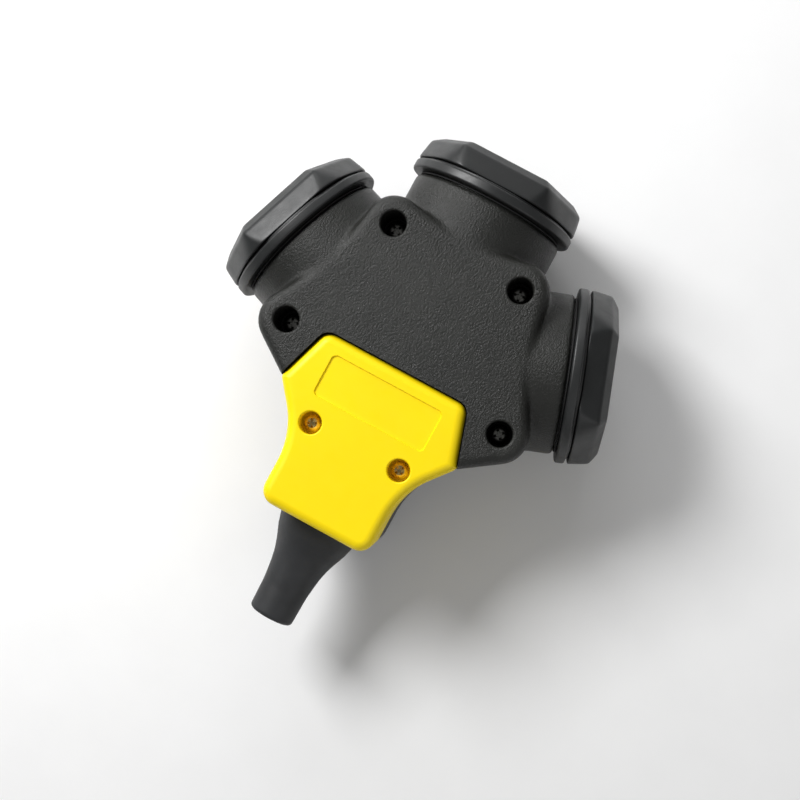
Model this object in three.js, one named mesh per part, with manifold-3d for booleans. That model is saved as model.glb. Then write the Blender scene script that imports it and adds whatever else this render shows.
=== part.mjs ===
// A hand-held three-way socket box: a fan of three lidded sockets on a two-shell housing,
// with a screwed cover over the cable entry and a tapered cable sleeve on the handle end.
// Millimetres. +Z is the front, the box lies on its back at Z = 0, and +Y is the middle socket.

import * as THREE from 'three';
import { ConvexGeometry } from 'three/addons/geometries/ConvexGeometry.js';
import { LoftGeometry } from 'three/addons/geometries/LoftGeometry.js';
import { mergeVertices } from 'three/addons/utils/BufferGeometryUtils.js';
import Module from 'manifold-3d';

// ---------------------------------------------------------------- driving dimensions

const gap = 0.3; // between any two pieces that touch
const seam = 0.4; // visible gap round the cable cover
const wall = 2.5; // housing and cover

const recessRadius = 20.2; // of a domestic three-pin socket
const recessDepth = 17.5;
const insertWall = 2.3;
const insertBase = 2.8;
const insertTaper = 4.3; // the insert narrows by this towards its back
const flangeThick = 2.7;
const flangeInset = 5; // mouth of the barrel to the back of the insert's flange
const ribThick = 3;
const poleOffset = 9.5; // half the pole spacing
const contactRadius = 2.3;
const contactBore = 1.4; // radius
const contactLength = 14;
const contactBoreDepth = 9;
const contactInset = 0.5; // behind the floor of the recess
const tailThick = 2.5; // of the contact's tail, along the socket axis
const tailHalf = 1.8; // half its width
const clipInset = 1; // earth clip legs, inside the wall of the recess
const clipWidth = 6;
const clipThick = 0.8;
const clipReach = 13; // how far the legs stand out of the base

const spigotWall = 3.4; // collar, inside its barrel
const insertRadius = recessRadius + insertWall;
const collarBore = insertRadius + gap;
const spigotRadius = collarBore + spigotWall;
const boreRadius = spigotRadius + gap;
const barrelRadius = boreRadius + wall;

const fanAngle = 70; // degrees between neighbouring sockets
const mouthBeyond = 13.785; // barrel mouth, past the place where its side meets the next barrel's
const middleExtra = 2.9; // the middle barrel is longer by this
const mouthRound = 1;
const edgeRound = 3.5; // long outer edges of the housing
const faceRise = 0.3; // front face above the crests of the barrels

const bossInset = 7.36; // housing screws, inside the corner between two barrels
const bossRadius = 10.3; // outline round each housing screw
const outerBoss = 35; // degrees from a side socket to the screw behind it
const flankDip = 2.5; // control point of the hollow between two bosses, inside their ring
const flankTilt = 12; // degrees at which the hollow leaves a boss
const tailAngle = 145; // compass angle that the lower flanks face
const bossWell = 4.5; // radius of the wells over the housing screws
const bossWellDepth = 20;
const columnWall = 1.8;

const grooveWidth = 1.1; // between barrel and collar
const collarProud = 2.7; // collar outside the barrel
const collarThick = 3.6;
const collarChamfer = 0.7;
const stepProud = 0.8; // shoulder that the lid closes on, outside the barrel
const stepHeight = 0.8;
const lipInset = 1.6; // sealing lip inside the lid, inside the barrel's radius
const lipHeight = 1.1;

const lidShy = 0.1; // lid inside the collar's radius
const lidThick = 10.4;
const lidTaper = 6.5; // degrees, round sides
const lidDraft = 22; // degrees, flats
const frontFlatInset = 7.1; // front and rear flats inside the lid's radius, at the outer face
const sideFlatInset = 5.2; // the four side flats
const lidEdge = 3; // chamfer and rounding round the outer face
const lidWall = 3.5;
const gasketWidth = 2.4;
const gasketThick = 1.2;
const gasketDepth = 1.6;

const pinRadius = 1.25;
const pinProud = 0.15; // hinge pin outside the lid's radius
const pinRise = 0.7; // hinge pin past the foot of the lid
const knuckleRadius = 2.5;
const lidKnuckle = [3.2, 6.8]; // from the middle of the pin to the two lid knuckles
const collarKnuckle = [7.1, 10.6];
const footRise = 1.6; // foot of the collar's knuckles, above the pin
const armRise = 1.8; // arm of the lid's knuckles, past the pin
const pinEnd = 0.5; // pin beyond the outer knuckles
const springWire = 0.55;
const springTurns = 3;
const rearClear = 0.25; // rear face behind the hinge knuckles

const cableRadius = 6.2; // bore of the sleeve
const sleeveNeck = cableRadius + 6.8; // held by the handle's end
const sleeveRootRadius = sleeveNeck + 2;
const sleeveFlange = sleeveNeck + 3.4; // inside the handle
const sleeveFlangeThick = 3;
const sleeveTipRadius = cableRadius + 2.1;
const sleeveLength = 38.5; // outside the handle

const coverTop = -8; // upper edge of the cable cover
const coverTopX = 27.8;
const coverTopRound = 4.5;
const shoulderY = -29;
const shoulderX = 34.6;
const shoulderRound = 2;
const neckDrop = 16.1; // shoulder to the corner of the hollow flank
const neckBend = 30; // radius of the hollow flanks
const handleHalf = sleeveFlange + wall + 2.6;
const handleEnd = -70;
const handleEndRound = 5.5;
const coverEdgeRound = 3.6;
const labelWidth = 43.4;
const labelHeight = 16.6;
const labelRound = 2.5;
const labelY = coverTop - 13.65;
const labelDepth = 0.5;

const coverScrewX = 17.3;
const coverScrewY = shoulderY - 9.6;
const coverScrewWell = 4; // radius of the wells in the cover
const coverWellDepth = 8;
const coverPost = 4.2; // radius of the posts under the cover's screws

const busWidth = 6;
const busThick = 1.5;
const busInset = 0.5; // middle of a bar's end, behind the end of its contact
const busLevel = 7.3; // live bus above, neutral bus below the socket axes
const blockWidth = 30;
const blockDepth = 12;
const blockHeight = 22;
const blockY = coverTop - 20;
const terminalPitch = 9.5;
const terminalBore = 2.3; // radius of the wells over the terminal screws
const wellDepth = 9; // of those wells
const terminalSeat = 4; // top of the block to the seats of its screws
const seatInset = 5; // ends of the block beyond its pedestal
const wireEntry = 2.2; // radius of the ways in for the wires
const clampY = handleEnd + 18;
const clampPostX = cableRadius + 4.3;
const clampPost = 4; // radius
const clampHeight = 3.6; // foot of the clamp above the socket axes
const clampThick = cableRadius + 2.9 - clampHeight;
const clampSpan = 28;
const clampWidth = 8;
const busPass = 18; // half the width of the way that the bus bars take into the handle
const curtainBase = 12; // its height above the socket axes

// [head radius, head height, shank radius] of each kind of screw
const housingScrew = [3.6, 2.6, 1.8];
const coverScrew = [3.1, 2.3, 1.7];
const clampScrew = [2.6, 1.8, 1.3];
const terminalScrew = [1.9, 1.6, 1.3];
const holeDepth = 12; // of the cover's and the clamp's screw holes, behind the socket axes
const housingHoleDepth = 18;
const screwTip = 4; // bottom of a hole to the tip of its screw
const farAway = 300;

// ---------------------------------------------------------------- helpers

const wasm = await Module();
wasm.setup();
const rad = THREE.MathUtils.degToRad;

function solid(geometry) {
  const bare = new THREE.BufferGeometry();
  bare.setAttribute('position', geometry.getAttribute('position'));
  bare.setIndex(geometry.getIndex());
  const merged = mergeVertices(bare, 1e-4);
  const triVerts = new Uint32Array(merged.index.array);
  const vertProperties = merged.attributes.position.array;
  return new wasm.Manifold(new wasm.Mesh({ numProp: 3, vertProperties, triVerts }));
}

function geometryOf(manifold) {
  const mesh = manifold.getMesh();
  const geometry = new THREE.BufferGeometry();
  geometry.setAttribute('position', new THREE.BufferAttribute(mesh.vertProperties, 3));
  geometry.setIndex(new THREE.BufferAttribute(mesh.triVerts, 1));
  geometry.computeVertexNormals();
  return geometry;
}

const join = (parts) => parts.reduce((all, part) => all.add(part));

function box(x, y, z) {
  const size = [x, y, z].map(([low, high]) => high - low);
  const middle = [x, y, z].map(([low, high]) => (low + high) / 2);
  return solid(new THREE.BoxGeometry(...size).translate(...middle));
}

// A cylinder along Z that stands at (x, y).
function post(radius, x, y, [low, high], sides = 12) {
  const cylinder = new THREE.CylinderGeometry(radius, radius, high - low, sides);
  return solid(cylinder.rotateX(Math.PI / 2).translate(x, y, (low + high) / 2));
}

// A cylinder along X, for everything on a hinge.
function rod(radius, [low, high], y, z, sides = 12) {
  const cylinder = new THREE.CylinderGeometry(radius, radius, high - low, sides);
  return solid(cylinder.rotateZ(Math.PI / 2).translate((low + high) / 2, y, z));
}

// A profile of [radius, distance along the axis] turned about the Y axis.
function turned(profile, sides = 28) {
  const points = profile.map(([r, s]) => new THREE.Vector2(r, s));
  return solid(new THREE.LatheGeometry([...points, points[0]], sides));
}

// A stack of copies of one outline: levels are [height, growth of the outline].
function loft(outline, levels) {
  const sections = levels.map(([z, grow]) => outline(grow).map(([x, y]) => new THREE.Vector3(x, y, z)));
  return solid(new LoftGeometry(sections, { capStart: true, capEnd: true }));
}

// Levels of a wall from low to high whose upper edge is rounded.
function roundedTop(low, high, radius, steps = 2) {
  const levels = [[low, 0]];
  for (let i = 0; i <= steps; i += 1) {
    const turn = (i / steps) * (Math.PI / 2);
    levels.push([high - radius + radius * Math.sin(turn), radius * Math.cos(turn) - radius]);
  }
  return levels;
}

const flipped = (levels) => levels.map(([z, grow]) => [-z, grow]).reverse();

// Points of a polygon whose corners are rounded, after every side has moved out by grow.
// The corners are [x, y, radius], counterclockwise.
function roundedPolygon(corners, grow, steps = 3) {
  const count = corners.length;
  const normals = corners.map(([x, y], i) => {
    const [nextX, nextY] = corners[(i + 1) % count];
    const length = Math.hypot(nextX - x, nextY - y);
    return [(nextY - y) / length, (x - nextX) / length];
  });
  return corners.flatMap(([x, y, radius], i) => {
    const before = normals[(i + count - 1) % count];
    const after = normals[i];
    const share = 1 + before[0] * after[0] + before[1] * after[1];
    const out = [(before[0] + after[0]) / share, (before[1] + after[1]) / share];
    const side = Math.sign(before[0] * after[1] - before[1] * after[0]);
    const bend = Math.max(radius + side * grow, 0.2) * side;
    const centre = [x + out[0] * (grow - bend), y + out[1] * (grow - bend)];
    const start = Math.atan2(before[1], before[0]);
    const turn = side * Math.acos(before[0] * after[0] + before[1] * after[1]);
    return Array.from({ length: steps + 1 }, (_, k) => {
      const angle = start + (turn * k) / steps;
      return [centre[0] + bend * Math.cos(angle), centre[1] + bend * Math.sin(angle)];
    });
  });
}

// ---------------------------------------------------------------- outlines

const compass = (angle, reach) => [reach * Math.sin(rad(angle)), reach * Math.cos(rad(angle))];
const fans = [-fanAngle, 0, fanAngle];
const sideReach = barrelRadius / Math.tan(rad(fanAngle / 2)) + mouthBeyond;
const reaches = [sideReach, sideReach + middleExtra, sideReach];
const bossRing = barrelRadius / Math.sin(rad(fanAngle / 2)) - bossInset;
const bossAngles = [-fanAngle - outerBoss, -fanAngle / 2, fanAngle / 2, fanAngle + outerBoss];
const bossCentres = bossAngles.map((angle) => compass(angle, bossRing));

// The cable cover and the handle behind it.
function handleOutline(grow) {
  const right = [
    [handleHalf, handleEnd, handleEndRound],
    [handleHalf, shoulderY - neckDrop, neckBend],
    [shoulderX, shoulderY, shoulderRound],
    [coverTopX, coverTop, coverTopRound],
  ];
  const left = right.map(([x, y, radius]) => [-x, y, radius]).reverse();
  return roundedPolygon([...right, ...left], grow);
}

// The hub: an arc round each boss, and a shallow hollow across each barrel between them.
function hubOutline(grow) {
  const points = [];
  const arcSteps = 6;
  const hollowSteps = 4;
  bossCentres.forEach(([x, y], i) => {
    const first = i === 0 ? -tailAngle : fans[i - 1] - flankTilt;
    const last = i === 3 ? tailAngle : fans[i] + flankTilt;
    for (let k = 0; k <= arcSteps; k += 1) {
      const [dx, dy] = compass(first + ((last - first) * k) / arcSteps, bossRadius + grow);
      points.push([x + dx, y + dy]);
    }
    if (i === 3) return;
    const from = points[points.length - 1];
    const control = compass(fans[i], bossRing - flankDip + grow);
    const onward = compass(fans[i] - flankTilt, bossRadius + grow);
    const to = [bossCentres[i + 1][0] + onward[0], bossCentres[i + 1][1] + onward[1]];
    for (let k = 1; k < hollowSteps; k += 1) {
      const t = k / hollowSteps;
      points.push([0, 1].map((n) => from[n] * (1 - t) ** 2 + 2 * control[n] * t * (1 - t) + to[n] * t * t));
    }
  });
  const [tailX, tailY] = compass(tailAngle, 1);
  const last = points[points.length - 1];
  const run = (last[1] - shoulderY) / tailX;
  points.push([last[0] + tailY * run, shoulderY], [-last[0] - tailY * run, shoulderY]);
  return points.reverse();
}

const labelOutline = (grow) => {
  const [x, y] = [labelWidth / 2, labelHeight / 2];
  const corners = [[x, -y], [x, y], [-x, y], [-x, -y]].map((corner) => [...corner, labelRound]);
  return roundedPolygon(corners, grow).map(([px, py]) => [px, py + labelY]);
};

// ---------------------------------------------------------------- places along a socket's axis

// Each socket has its own frame: Y runs out along its axis from the mouth of its barrel.
const collarBack = grooveWidth;
const collarFace = collarBack + collarThick;
const collarRadius = barrelRadius + collarProud;
const stepRadius = barrelRadius + stepProud;
const lipRadius = barrelRadius - lipInset;
const lidRadius = collarRadius - lidShy;
const pinDrop = lidRadius + pinProud; // below the socket axis
const stepFace = collarFace + stepHeight;
const lipFace = stepFace + lipHeight;
const lidBase = stepFace + gap;
const lidFace = lidBase + lidThick;
const pinAlong = lidBase + pinRise;
const recessFloor = stepFace - recessDepth;
const insertBack = recessFloor - insertBase;
const flangeFace = flangeThick - flangeInset;
const spigotEnd = flangeFace + gap;
const knuckleBore = pinRadius + gap;
const contactFront = recessFloor - contactInset;
const contactBack = contactFront - contactLength;
const busAlong = contactBack - busInset;
const clipBack = insertBack - gap - clipThick;
const clipOffset = recessRadius - clipInset; // earth clip legs from the axis
const axisHeight = pinDrop + knuckleRadius + rearClear; // socket axes above the rear face
const frontHeight = barrelRadius + faceRise; // front face above the socket axes

// ---------------------------------------------------------------- housing

const columnRadius = bossWell + columnWall;
const headSeat = frontHeight - bossWellDepth; // floor of the wells over the housing screws
const coverSeat = frontHeight - coverWellDepth; // floor of the wells over the cover's screws
const clampTop = clampHeight + clampThick;
const half = gap / 2;
const holeFor = ([, , shank]) => shank + gap;

// Everything behind a level.
const behind = (level) => box([-farAway, farAway], [-farAway, farAway], [-farAway, level]);

function intoFan(part, angle) {
  return part.rotate([0, 0, -angle]);
}

// A profile along each socket's axis, turned into a solid and set into the fan. The profile is
// a function of the reach of its barrel, measured from the hub centre.
function fanned(profile, sides) {
  return join(fans.map((angle, i) => intoFan(turned(profile(reaches[i]), sides), angle)));
}

function barrels() {
  return fanned((reach) => [[0, 0], [barrelRadius, 0], [barrelRadius, reach - mouthRound],
    [barrelRadius - 0.3 * mouthRound, reach - 0.3 * mouthRound],
    [barrelRadius - mouthRound, reach], [0, reach]], 36);
}

function bores() {
  return fanned((reach) => [[0, 0], [boreRadius, 0], [boreRadius, reach + 1], [0, reach + 1]]);
}

// The ring inside each barrel that backs the flange of the socket insert.
function ribs() {
  const [inner, outer] = [insertRadius + gap, barrelRadius - wall / 2];
  return fanned((reach) => {
    const front = reach - flangeInset - gap;
    return [[inner, front - ribThick], [outer, front - ribThick], [outer, front], [inner, front]];
  });
}

const columns = (radius, span) => join(bossCentres.map(([x, y]) => post(radius, x, y, span)));
const coverPosts = (radius, span) =>
  join([-coverScrewX, coverScrewX].map((x) => post(radius, x, coverScrewY, span)));
const clampPosts = (radius, span) =>
  join([-clampPostX, clampPostX].map((x) => post(radius, x, clampY, span)));

// A ring or a plug about the sleeve's axis, which runs along Y.
function aboutSleeve(inner, outer, low, high) {
  return turned([[inner, low], [outer, low], [outer, high], [inner, high]]);
}

function frontHousing() {
  const outer = loft(hubOutline, roundedTop(-1, frontHeight, edgeRound)).add(barrels());
  const hollow = loft((grow) => hubOutline(grow - wall), [[-2, 0], [frontHeight - wall, 0]]).add(bores());
  const opening = loft((grow) => handleOutline(grow + seam), [[-2, 0], [frontHeight + 1, 0]]);
  const curtain = loft((grow) => handleOutline(grow + seam + wall), [[curtainBase, 0], [frontHeight, 0]]);
  const added = join([columns(columnRadius, [-1, frontHeight]), ribs(), curtain]);
  return outer
    .subtract(hollow)
    .add(added.intersect(loft(hubOutline, roundedTop(-1, frontHeight - 0.01, edgeRound)).add(barrels())))
    .subtract(opening)
    .subtract(columns(bossWell, [headSeat, frontHeight + 1]))
    .subtract(columns(holeFor(housingScrew), [-1, headSeat + 1]))
    .subtract(behind(half));
}

function rearHousing() {
  const shell = (grow, levels) => loft((g) => hubOutline(g + grow), levels)
    .add(loft((g) => handleOutline(g + grow), levels));
  const outer = shell(0, flipped(roundedTop(-1, axisHeight, edgeRound))).add(barrels());
  const hollow = shell(-wall, [[wall - axisHeight, 0], [2, 0]]).add(bores());
  const floor = wall / 2 - axisHeight;
  const pedestal = box([seatInset - blockWidth / 2, blockWidth / 2 - seatInset],
    [blockY - blockDepth / 2, blockY + blockDepth / 2], [floor, -blockHeight / 2 - gap]);
  const added = join([
    columns(columnRadius, [floor, 1]),
    ribs(),
    coverPosts(coverPost, [floor, coverSeat - wall - gap]),
    clampPosts(clampPost, [floor, clampHeight]),
    pedestal,
  ]);
  const upper = coverPosts(coverPost, [half - 1, coverSeat - wall - gap])
    .add(clampPosts(clampPost, [half - 1, clampHeight]));
  return outer
    .subtract(hollow)
    .add(added.intersect(outer))
    .intersect(behind(-half))
    .add(upper)
    .subtract(columns(holeFor(housingScrew), [-housingHoleDepth, 1]))
    .subtract(coverPosts(holeFor(coverScrew), [-holeDepth, frontHeight]))
    .subtract(clampPosts(holeFor(clampScrew), [-holeDepth, frontHeight]))
    .subtract(aboutSleeve(0, sleeveNeck + gap, handleEnd - 1, handleEnd + wall + 1));
}

function cableCover() {
  const outer = loft(handleOutline, roundedTop(half, frontHeight, coverEdgeRound));
  const hollow = loft((grow) => handleOutline(grow - wall), [[-1, 0], [frontHeight - wall, 0]]);
  const tubes = coverPosts(coverScrewWell + columnWall, [coverSeat - wall, frontHeight]);
  return outer
    .subtract(hollow)
    .add(tubes.intersect(outer))
    .subtract(coverPosts(coverScrewWell, [coverSeat, frontHeight + 1]))
    .subtract(coverPosts(holeFor(coverScrew), [coverSeat - wall - 1, coverSeat + 1]))
    .subtract(loft(labelOutline, [[frontHeight - labelDepth, 0], [frontHeight + 1, 0]]))
    .subtract(box([-busPass, busPass], [coverTop - wall - 1, coverTop + 1], [-1, curtainBase]))
    .subtract(aboutSleeve(0, sleeveNeck + gap, handleEnd - 1, handleEnd + wall + 1));
}

function cableSleeve() {
  const root = handleEnd - gap;
  const tip = handleEnd - sleeveLength;
  const inside = handleEnd + wall + gap;
  const along = (share) => root + (tip - root) * share;
  return turned([
    [cableRadius, tip],
    [sleeveTipRadius - 1.6, tip],
    [sleeveTipRadius - 0.4, tip + 0.6],
    [sleeveTipRadius, tip + 2],
    [sleeveTipRadius + 0.3, along(0.7)],
    [sleeveTipRadius + 1.6, along(0.41)],
    [sleeveRootRadius - 1.5, along(0.175)],
    [sleeveRootRadius, root],
    [sleeveNeck, root],
    [sleeveNeck, inside],
    [sleeveFlange, inside],
    [sleeveFlange, inside + sleeveFlangeThick],
    [cableRadius, inside + sleeveFlangeThick],
  ]);
}

// A pan-head screw along Z with a cross recess: its head stands on a seat, and end is its tip.
function screw(x, y, seat, [headRadius, headHeight, shankRadius], end) {
  const recess = headRadius * 0.575;
  const slot = headRadius * 0.16;
  const top = seat + gap + headHeight;
  const depth = [top - headHeight * 0.6, top + 1];
  const cross = box([-recess, recess], [-slot, slot], depth)
    .add(box([-slot, slot], [-recess, recess], depth));
  const profile = [[0, 0], [headRadius, 0], [headRadius, headHeight * 0.5],
    [headRadius * 0.7, headHeight], [0, headHeight]].map(([r, z]) => new THREE.Vector2(r, z));
  const head = new THREE.LatheGeometry(profile, 10).rotateX(Math.PI / 2).translate(0, 0, seat + gap);
  const shank = post(shankRadius, 0, 0, [end, seat + gap + headHeight * 0.2], 6);
  return solid(head).add(shank).subtract(cross).translate([x, y, 0]);
}

// ---------------------------------------------------------------- socket parts

function collar() {
  const ring = turned([
    [collarBore, spigotEnd],
    [spigotRadius, spigotEnd],
    [spigotRadius, collarBack],
    [collarRadius - collarChamfer, collarBack],
    [collarRadius, collarBack + collarChamfer],
    [collarRadius, collarFace - collarChamfer],
    [collarRadius - collarChamfer, collarFace],
    [stepRadius, collarFace],
    [stepRadius, stepFace],
    [lipRadius, stepFace],
    [lipRadius, lipFace],
    [collarBore, lipFace],
  ], 36);
  const ears = [-1, 1].map((side) => {
    const span = collarKnuckle.map((x) => x * side).sort((a, b) => a - b);
    const foot = box(span, [collarBack + collarChamfer, pinAlong],
      [-pinDrop - knuckleRadius, -pinDrop + footRise]);
    return foot.add(rod(knuckleRadius, span, pinAlong, -pinDrop));
  });
  const relief = lidKnuckle[1] + gap;
  return ring
    .subtract(rod(knuckleRadius + gap, [-relief, relief], pinAlong, -pinDrop))
    .add(join(ears).subtract(turned([[0, -9], [stepRadius - 0.2, -9], [stepRadius - 0.2, 20], [0, 20]])))
    .subtract(rod(knuckleBore, [-20, 20], pinAlong, -pinDrop));
}

// The six-sided, drafted crown of a lid, as the hull of three hexagons.
function crown() {
  const points = [];
  const top = lidFace;
  const slope = Math.tan(rad(lidDraft));
  const hexagon = (s, shrink) => {
    const front = lidRadius - frontFlatInset + (top - s) * slope - shrink;
    const side = lidRadius - sideFlatInset + (top - s) * slope - shrink;
    const across = (side - front * 0.5) / Math.cos(rad(30));
    [[side / Math.cos(rad(30)), 0], [across, front], [-across, front]].forEach(([x, z]) => {
      points.push(new THREE.Vector3(x, s, z), new THREE.Vector3(-x, s, -z));
    });
  };
  hexagon(lidBase, 0);
  hexagon(top - lidEdge, 0);
  hexagon(top, lidEdge);
  return solid(new ConvexGeometry(points));
}

function lid() {
  const topRadius = lidRadius - lidThick * Math.tan(rad(lidTaper));
  const edgeDrop = lidEdge * (1 - Math.SQRT1_2); // to the middle of the drum's rounded edge
  const drum = turned([
    [0, lidBase], [lidRadius, lidBase],
    [topRadius + lidEdge * Math.tan(rad(lidTaper)), lidFace - lidEdge],
    [topRadius - edgeDrop, lidFace - edgeDrop], [topRadius - lidEdge, lidFace], [0, lidFace],
  ], 36);
  const mouth = lipRadius + seam;
  const seat = lipFace + gap;
  const groove = lipRadius - gap;
  const inside = groove - gasketWidth - 2 * gap;
  const hollow = turned([
    [0, lidBase - 1], [mouth, lidBase - 1], [mouth, seat], [groove, seat],
    [groove, seat + gasketDepth], [inside, seat + gasketDepth],
    [inside, lidFace - lidWall], [0, lidFace - lidWall],
  ]);
  const relief = collarKnuckle[1] + gap;
  const knuckles = [-1, 1].map((side) => {
    const span = lidKnuckle.map((x) => x * side).sort((a, b) => a - b);
    const arm = box(span, [lidBase + gap, pinAlong + armRise], [-pinDrop, 1 - lipRadius]);
    return arm.add(rod(knuckleRadius, span, pinAlong, -pinDrop));
  });
  return drum
    .intersect(crown())
    .subtract(rod(knuckleRadius + gap, [-relief, relief], pinAlong, -pinDrop))
    .add(join(knuckles))
    .subtract(hollow)
    .subtract(rod(knuckleBore, [-20, 20], pinAlong, -pinDrop));
}

function lidGasket() {
  const outer = lipRadius - 2 * gap;
  const back = lipFace + 2 * gap;
  const inner = outer - gasketWidth;
  const front = back + gasketThick;
  return turned([[inner, back], [outer, back], [outer, front], [inner, front]]);
}

function collarSeal() {
  const [low, high] = [gap, collarBack - gap];
  return turned([[spigotRadius + gap, low], [barrelRadius - 1, low], [barrelRadius - 1, high],
    [spigotRadius + gap, high]]);
}

function hingePin() {
  const end = collarKnuckle[1] + pinEnd;
  return rod(pinRadius, [-end, end], pinAlong, -pinDrop, 16);
}

// A torsion spring round the middle of the pin, with one leg towards the collar.
class SpringPath extends THREE.Curve {
  getPoint(t, target = new THREE.Vector3()) {
    const coilRadius = pinRadius + gap + springWire / 2;
    const angle = t * springTurns * 2 * Math.PI;
    const reach = lidKnuckle[0] - gap - springWire;
    return target.set((2 * t - 1) * reach, pinAlong + coilRadius * Math.sin(angle),
      -pinDrop + coilRadius * Math.cos(angle));
  }
}

function hingeSpring() {
  const section = new THREE.Shape();
  section.absarc(0, 0, springWire / 2, 0, Math.PI * 2);
  const path = new SpringPath();
  const steps = springTurns * 9;
  return solid(new THREE.ExtrudeGeometry(section, { curveSegments: 2, steps, extrudePath: path }));
}

function socketInsert() {
  const cup = turned([
    [0, insertBack], [insertRadius - insertTaper, insertBack],
    [insertRadius, insertBack + insertTaper / 2], [insertRadius, -flangeInset],
    [spigotRadius, -flangeInset], [spigotRadius, flangeFace],
    [insertRadius, flangeFace], [insertRadius, stepFace],
    [recessRadius, stepFace], [recessRadius, recessFloor], [0, recessFloor],
  ]);
  const hole = new THREE.CylinderGeometry(contactRadius + gap, contactRadius + gap, insertBase * 4, 14);
  const holes = [-1, 1].map((side) => solid(hole.clone().translate(side * poleOffset, insertBack, 0)));
  const reach = clipThick / 2 + gap;
  const slots = [-1, 1].map((side) => box([-clipWidth / 2 - gap, clipWidth / 2 + gap],
    [insertBack - 1, recessFloor + 1], [side * clipOffset - reach, side * clipOffset + reach]));
  return cup.subtract(join([...holes, ...slots]));
}

// A U of strip: a bar behind the base, and a leg through it at the top and the bottom.
function earthClip() {
  const outer = clipOffset + clipThick / 2;
  const tip = recessFloor + clipReach;
  const [x, bar] = [[-clipWidth / 2, clipWidth / 2], [clipBack, clipBack + clipThick]];
  const legs = [-1, 1].map((side) => {
    const span = [side * outer, side * (outer - clipThick)].sort((a, b) => a - b);
    return box(x, [clipBack, tip], span);
  });
  return box(x, bar, [-outer, outer]).add(join(legs));
}

// A sleeve for one pole, with a tail that turns towards its bus bar.
function contact(side) {
  const sleeve = turned([
    [0, contactBack], [contactRadius, contactBack], [contactRadius, contactFront],
    [contactBore, contactFront], [contactBore, contactFront - contactBoreDepth],
    [0, contactFront - contactBoreDepth],
  ], 14).translate([side * poleOffset, 0, 0]);
  const reach = [0, side * (busLevel - gap)].sort((a, b) => a - b);
  const across = [side * poleOffset - tailHalf, side * poleOffset + tailHalf];
  const tail = box(across, [contactBack - tailThick + 1, contactBack + 1], reach);
  return sleeve.add(tail);
}

// ---------------------------------------------------------------- wiring

// A flat bar from the hub centre to one place in each fan, and to the terminal block.
function bus(across, along, level, terminalX) {
  const thick = [level, level + busThick];
  const arm = (x, y) => {
    const angle = THREE.MathUtils.radToDeg(Math.atan2(x, y));
    const bar = box([-busWidth / 2, busWidth / 2], [-busWidth / 2, Math.hypot(x, y)], thick);
    return intoFan(bar, angle);
  };
  const ends = fans.map((angle, i) => {
    const [x, y] = compass(angle, reaches[i] + along);
    const [sideX, sideY] = [Math.cos(rad(angle)) * across, -Math.sin(rad(angle)) * across];
    return [x + sideX, y + sideY];
  });
  const blockEnd = [terminalX, blockY + blockDepth / 2 + gap + busWidth / 4];
  return join([...ends, blockEnd].map(([x, y]) => arm(x, y)));
}

const terminals = [-terminalPitch, 0, terminalPitch];

function terminalBlock() {
  const [x, y, z] = [blockWidth, blockDepth, blockHeight].map((size) => size / 2);
  const block = box([-x, x], [blockY - y, blockY + y], [-z, z]);
  const wells = terminals.map((place) => post(terminalBore, place, blockY, [z - wellDepth, z + 1]));
  const entry = new THREE.CylinderGeometry(wireEntry, wireEntry, blockDepth / 2, 12);
  const entries = terminals.map((place) => solid(entry.clone().translate(place, blockY - y, 0)));
  return block.subtract(join([...wells, ...entries]));
}

function cableClamp() {
  const along = [clampY - clampWidth / 2, clampY + clampWidth / 2];
  const bar = box([-clampSpan / 2, clampSpan / 2], along, [clampHeight + gap, clampTop]);
  return bar
    .subtract(aboutSleeve(0, cableRadius, along[0] - 1, along[1] + 1))
    .subtract(clampPosts(holeFor(clampScrew), [0, clampTop + 1]));
}

// ---------------------------------------------------------------- finishes

const finish = (color, roughness, metalness = 0) =>
  () => new THREE.MeshStandardMaterial({ color, roughness, metalness });
const housingBlack = finish(0x2b2c2a, 0.62);
const collarBlack = finish(0x2a2c2d, 0.5);
const lidBlack = finish(0x303234, 0.45);
const coverYellow = finish(0xffe60f, 0.4);
const sleeveBlack = finish(0x2c2d2f, 0.6);
const sealBlack = finish(0x111111, 0.9);
const insertGrey = finish(0x3a3b3c, 0.5);
const blackenedSteel = finish(0x3a3a38, 0.4, 0.9);
const brightSteel = finish(0xb9bcc0, 0.3, 1);
const brassPlate = finish(0xb6975a, 0.35, 1);
const copperBar = finish(0xb87345, 0.35, 1);
const blockWhite = finish(0xe9e6dc, 0.5);

function node(name, manifold, material) {
  const mesh = new THREE.Mesh(geometryOf(manifold), material());
  mesh.name = name;
  return mesh;
}

// ---------------------------------------------------------------- assembly

const part = new THREE.Group();
const socketBox = new THREE.Group();
socketBox.position.z = axisHeight;
part.add(socketBox);

socketBox.add(
  node('front_housing', frontHousing(), housingBlack),
  node('rear_housing', rearHousing(), housingBlack),
  node('cable_cover', cableCover(), coverYellow),
  node('cable_sleeve', cableSleeve(), sleeveBlack),
  node('terminal_block', terminalBlock(), blockWhite),
  node('cable_clamp', cableClamp(), insertGrey),
  node('live_bus', bus(poleOffset, busAlong, busLevel, terminalPitch), copperBar),
  node('neutral_bus', bus(-poleOffset, busAlong, -busLevel - busThick, -terminalPitch), copperBar),
  node('earth_bus', bus(0, clipBack - gap, -busThick / 2, 0), copperBar),
);

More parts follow.
